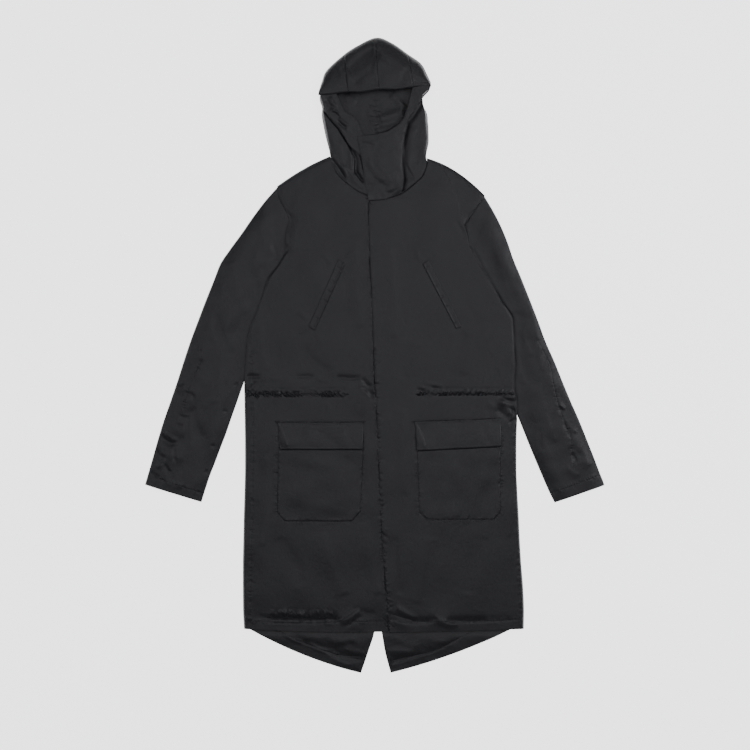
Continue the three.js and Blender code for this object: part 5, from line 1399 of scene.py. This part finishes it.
for half in ("right", "left"):
    for makePiece in (makeBack, makeSleeve, makeFront, makePocket, makeFlap, makeWelt):
        makePiece(half)
for name in hoodPanels:
    makeHoodPanel(name)
for name, above in (("collar_side_right", sideAbove), ("collar_side_left", sideAbove),
                    ("collar_facing_right", facingAbove), ("chin_guard_left", chinAbove)):
    makeCollarPiece(name, above)
print("garment ready")


floorLook = {"colour": "#f4f4f4", "glow": 2.5, "size": 6.0, "low": -0.0004}


def makeFloor():
    # a wide pale sheet of card just under the cloth, with a glow of its own to show as pale as in a studio
    material = bpy.data.materials.new("paleCard")
    material.use_nodes = True
    tree = material.node_tree
    tree.nodes.clear()
    place = addNode(tree, "ShaderNodeTexCoord")
    grain = addNode(tree, "ShaderNodeTexNoise", {"Scale": 400.0, "Detail": 3.0},
                    {"Vector": (place, "Object")})
    bump = addNode(tree, "ShaderNodeBump", {"Strength": 0.05, "Distance": 0.0002}, {"Height": (grain, "Fac")})
    shader = addNode(tree, "ShaderNodeBsdfPrincipled",
                     {"Base Color": linear(floorLook["colour"]), "Roughness": 0.9, "Specular IOR Level": 0.1,
                      "Emission Color": (1, 1, 1, 1), "Emission Strength": floorLook["glow"]},
                     {"Normal": (bump, "Normal")})
    addNode(tree, "ShaderNodeOutputMaterial", links={"Surface": (shader, "BSDF")})
    size, low = floorLook["size"], floorLook["low"]
    mesh = bpy.data.meshes.new("floor")
    mesh.from_pydata([(-size, -size, low), (size, -size, low), (size, size, low), (-size, size, low)], [],
                     [(0, 1, 2, 3)])
    floor = bpy.data.objects.new("floor", mesh)
    floor.data.materials.append(material)
    bpy.context.scene.collection.objects.link(floor)


# straight above with a long lens; the main light from the upper right, wide ones from the left and above
studioView = {"lens": 85, "sensor": 36, "height": 3.72, "middleY": -0.0399}
studioLights = {
    "keyLight": {"place": (2.0, 0.6, 2.0), "aim": (0, 0, 0), "size": 1.0, "power": 17},
    "fillLight": {"place": (-2.0, 0.3, 2.0), "aim": (0, 0, 0), "size": 1.4, "power": 7},
    "topLight": {"place": (0.05, 0.1, 3.6), "aim": (0.05, 0.1, 0), "size": 2.4, "power": 19},
    "backLight": {"place": (0.2, 1.9, 2.6), "aim": (0, 0.4, 0), "size": 1.4, "power": 6},
}
lightTint = (0.95, 0.945, 1.0)
worldGlow = 0.1


def addLight(name, look):
    # a square soft light at a place, turned to a point of the garment
    light = bpy.data.lights.new(name, "AREA")
    light.size = look["size"]
    light.energy = look["power"]
    light.color = lightTint
    lamp = bpy.data.objects.new(name, light)
    lamp.location = look["place"]
    bpy.context.scene.collection.objects.link(lamp)
    direction = np.array(look["aim"], float) - np.array(look["place"], float)
    lamp.rotation_mode = "QUATERNION"
    lamp.rotation_quaternion = Vector(direction).to_track_quat("-Z", "Y")


def makeStudio():
    # the camera over the garment's middle, the lights and a faint even glow all round
    camera = bpy.data.cameras.new("camera")
    camera.lens = studioView["lens"]
    camera.sensor_width = studioView["sensor"]
    eye = bpy.data.objects.new("camera", camera)
    eye.location = (0, studioView["middleY"], studioView["height"])
    bpy.context.scene.collection.objects.link(eye)
    bpy.context.scene.camera = eye
    for name, look in studioLights.items():
        addLight(name, look)
    world = bpy.data.worlds.new("studio")
    world.use_nodes = True
    glow = world.node_tree.nodes["Background"]
    glow.inputs["Color"].default_value = (1, 1, 1, 1)
    glow.inputs["Strength"].default_value = worldGlow
    bpy.context.scene.world = world


makeFloor()
makeStudio()
print("studio ready")
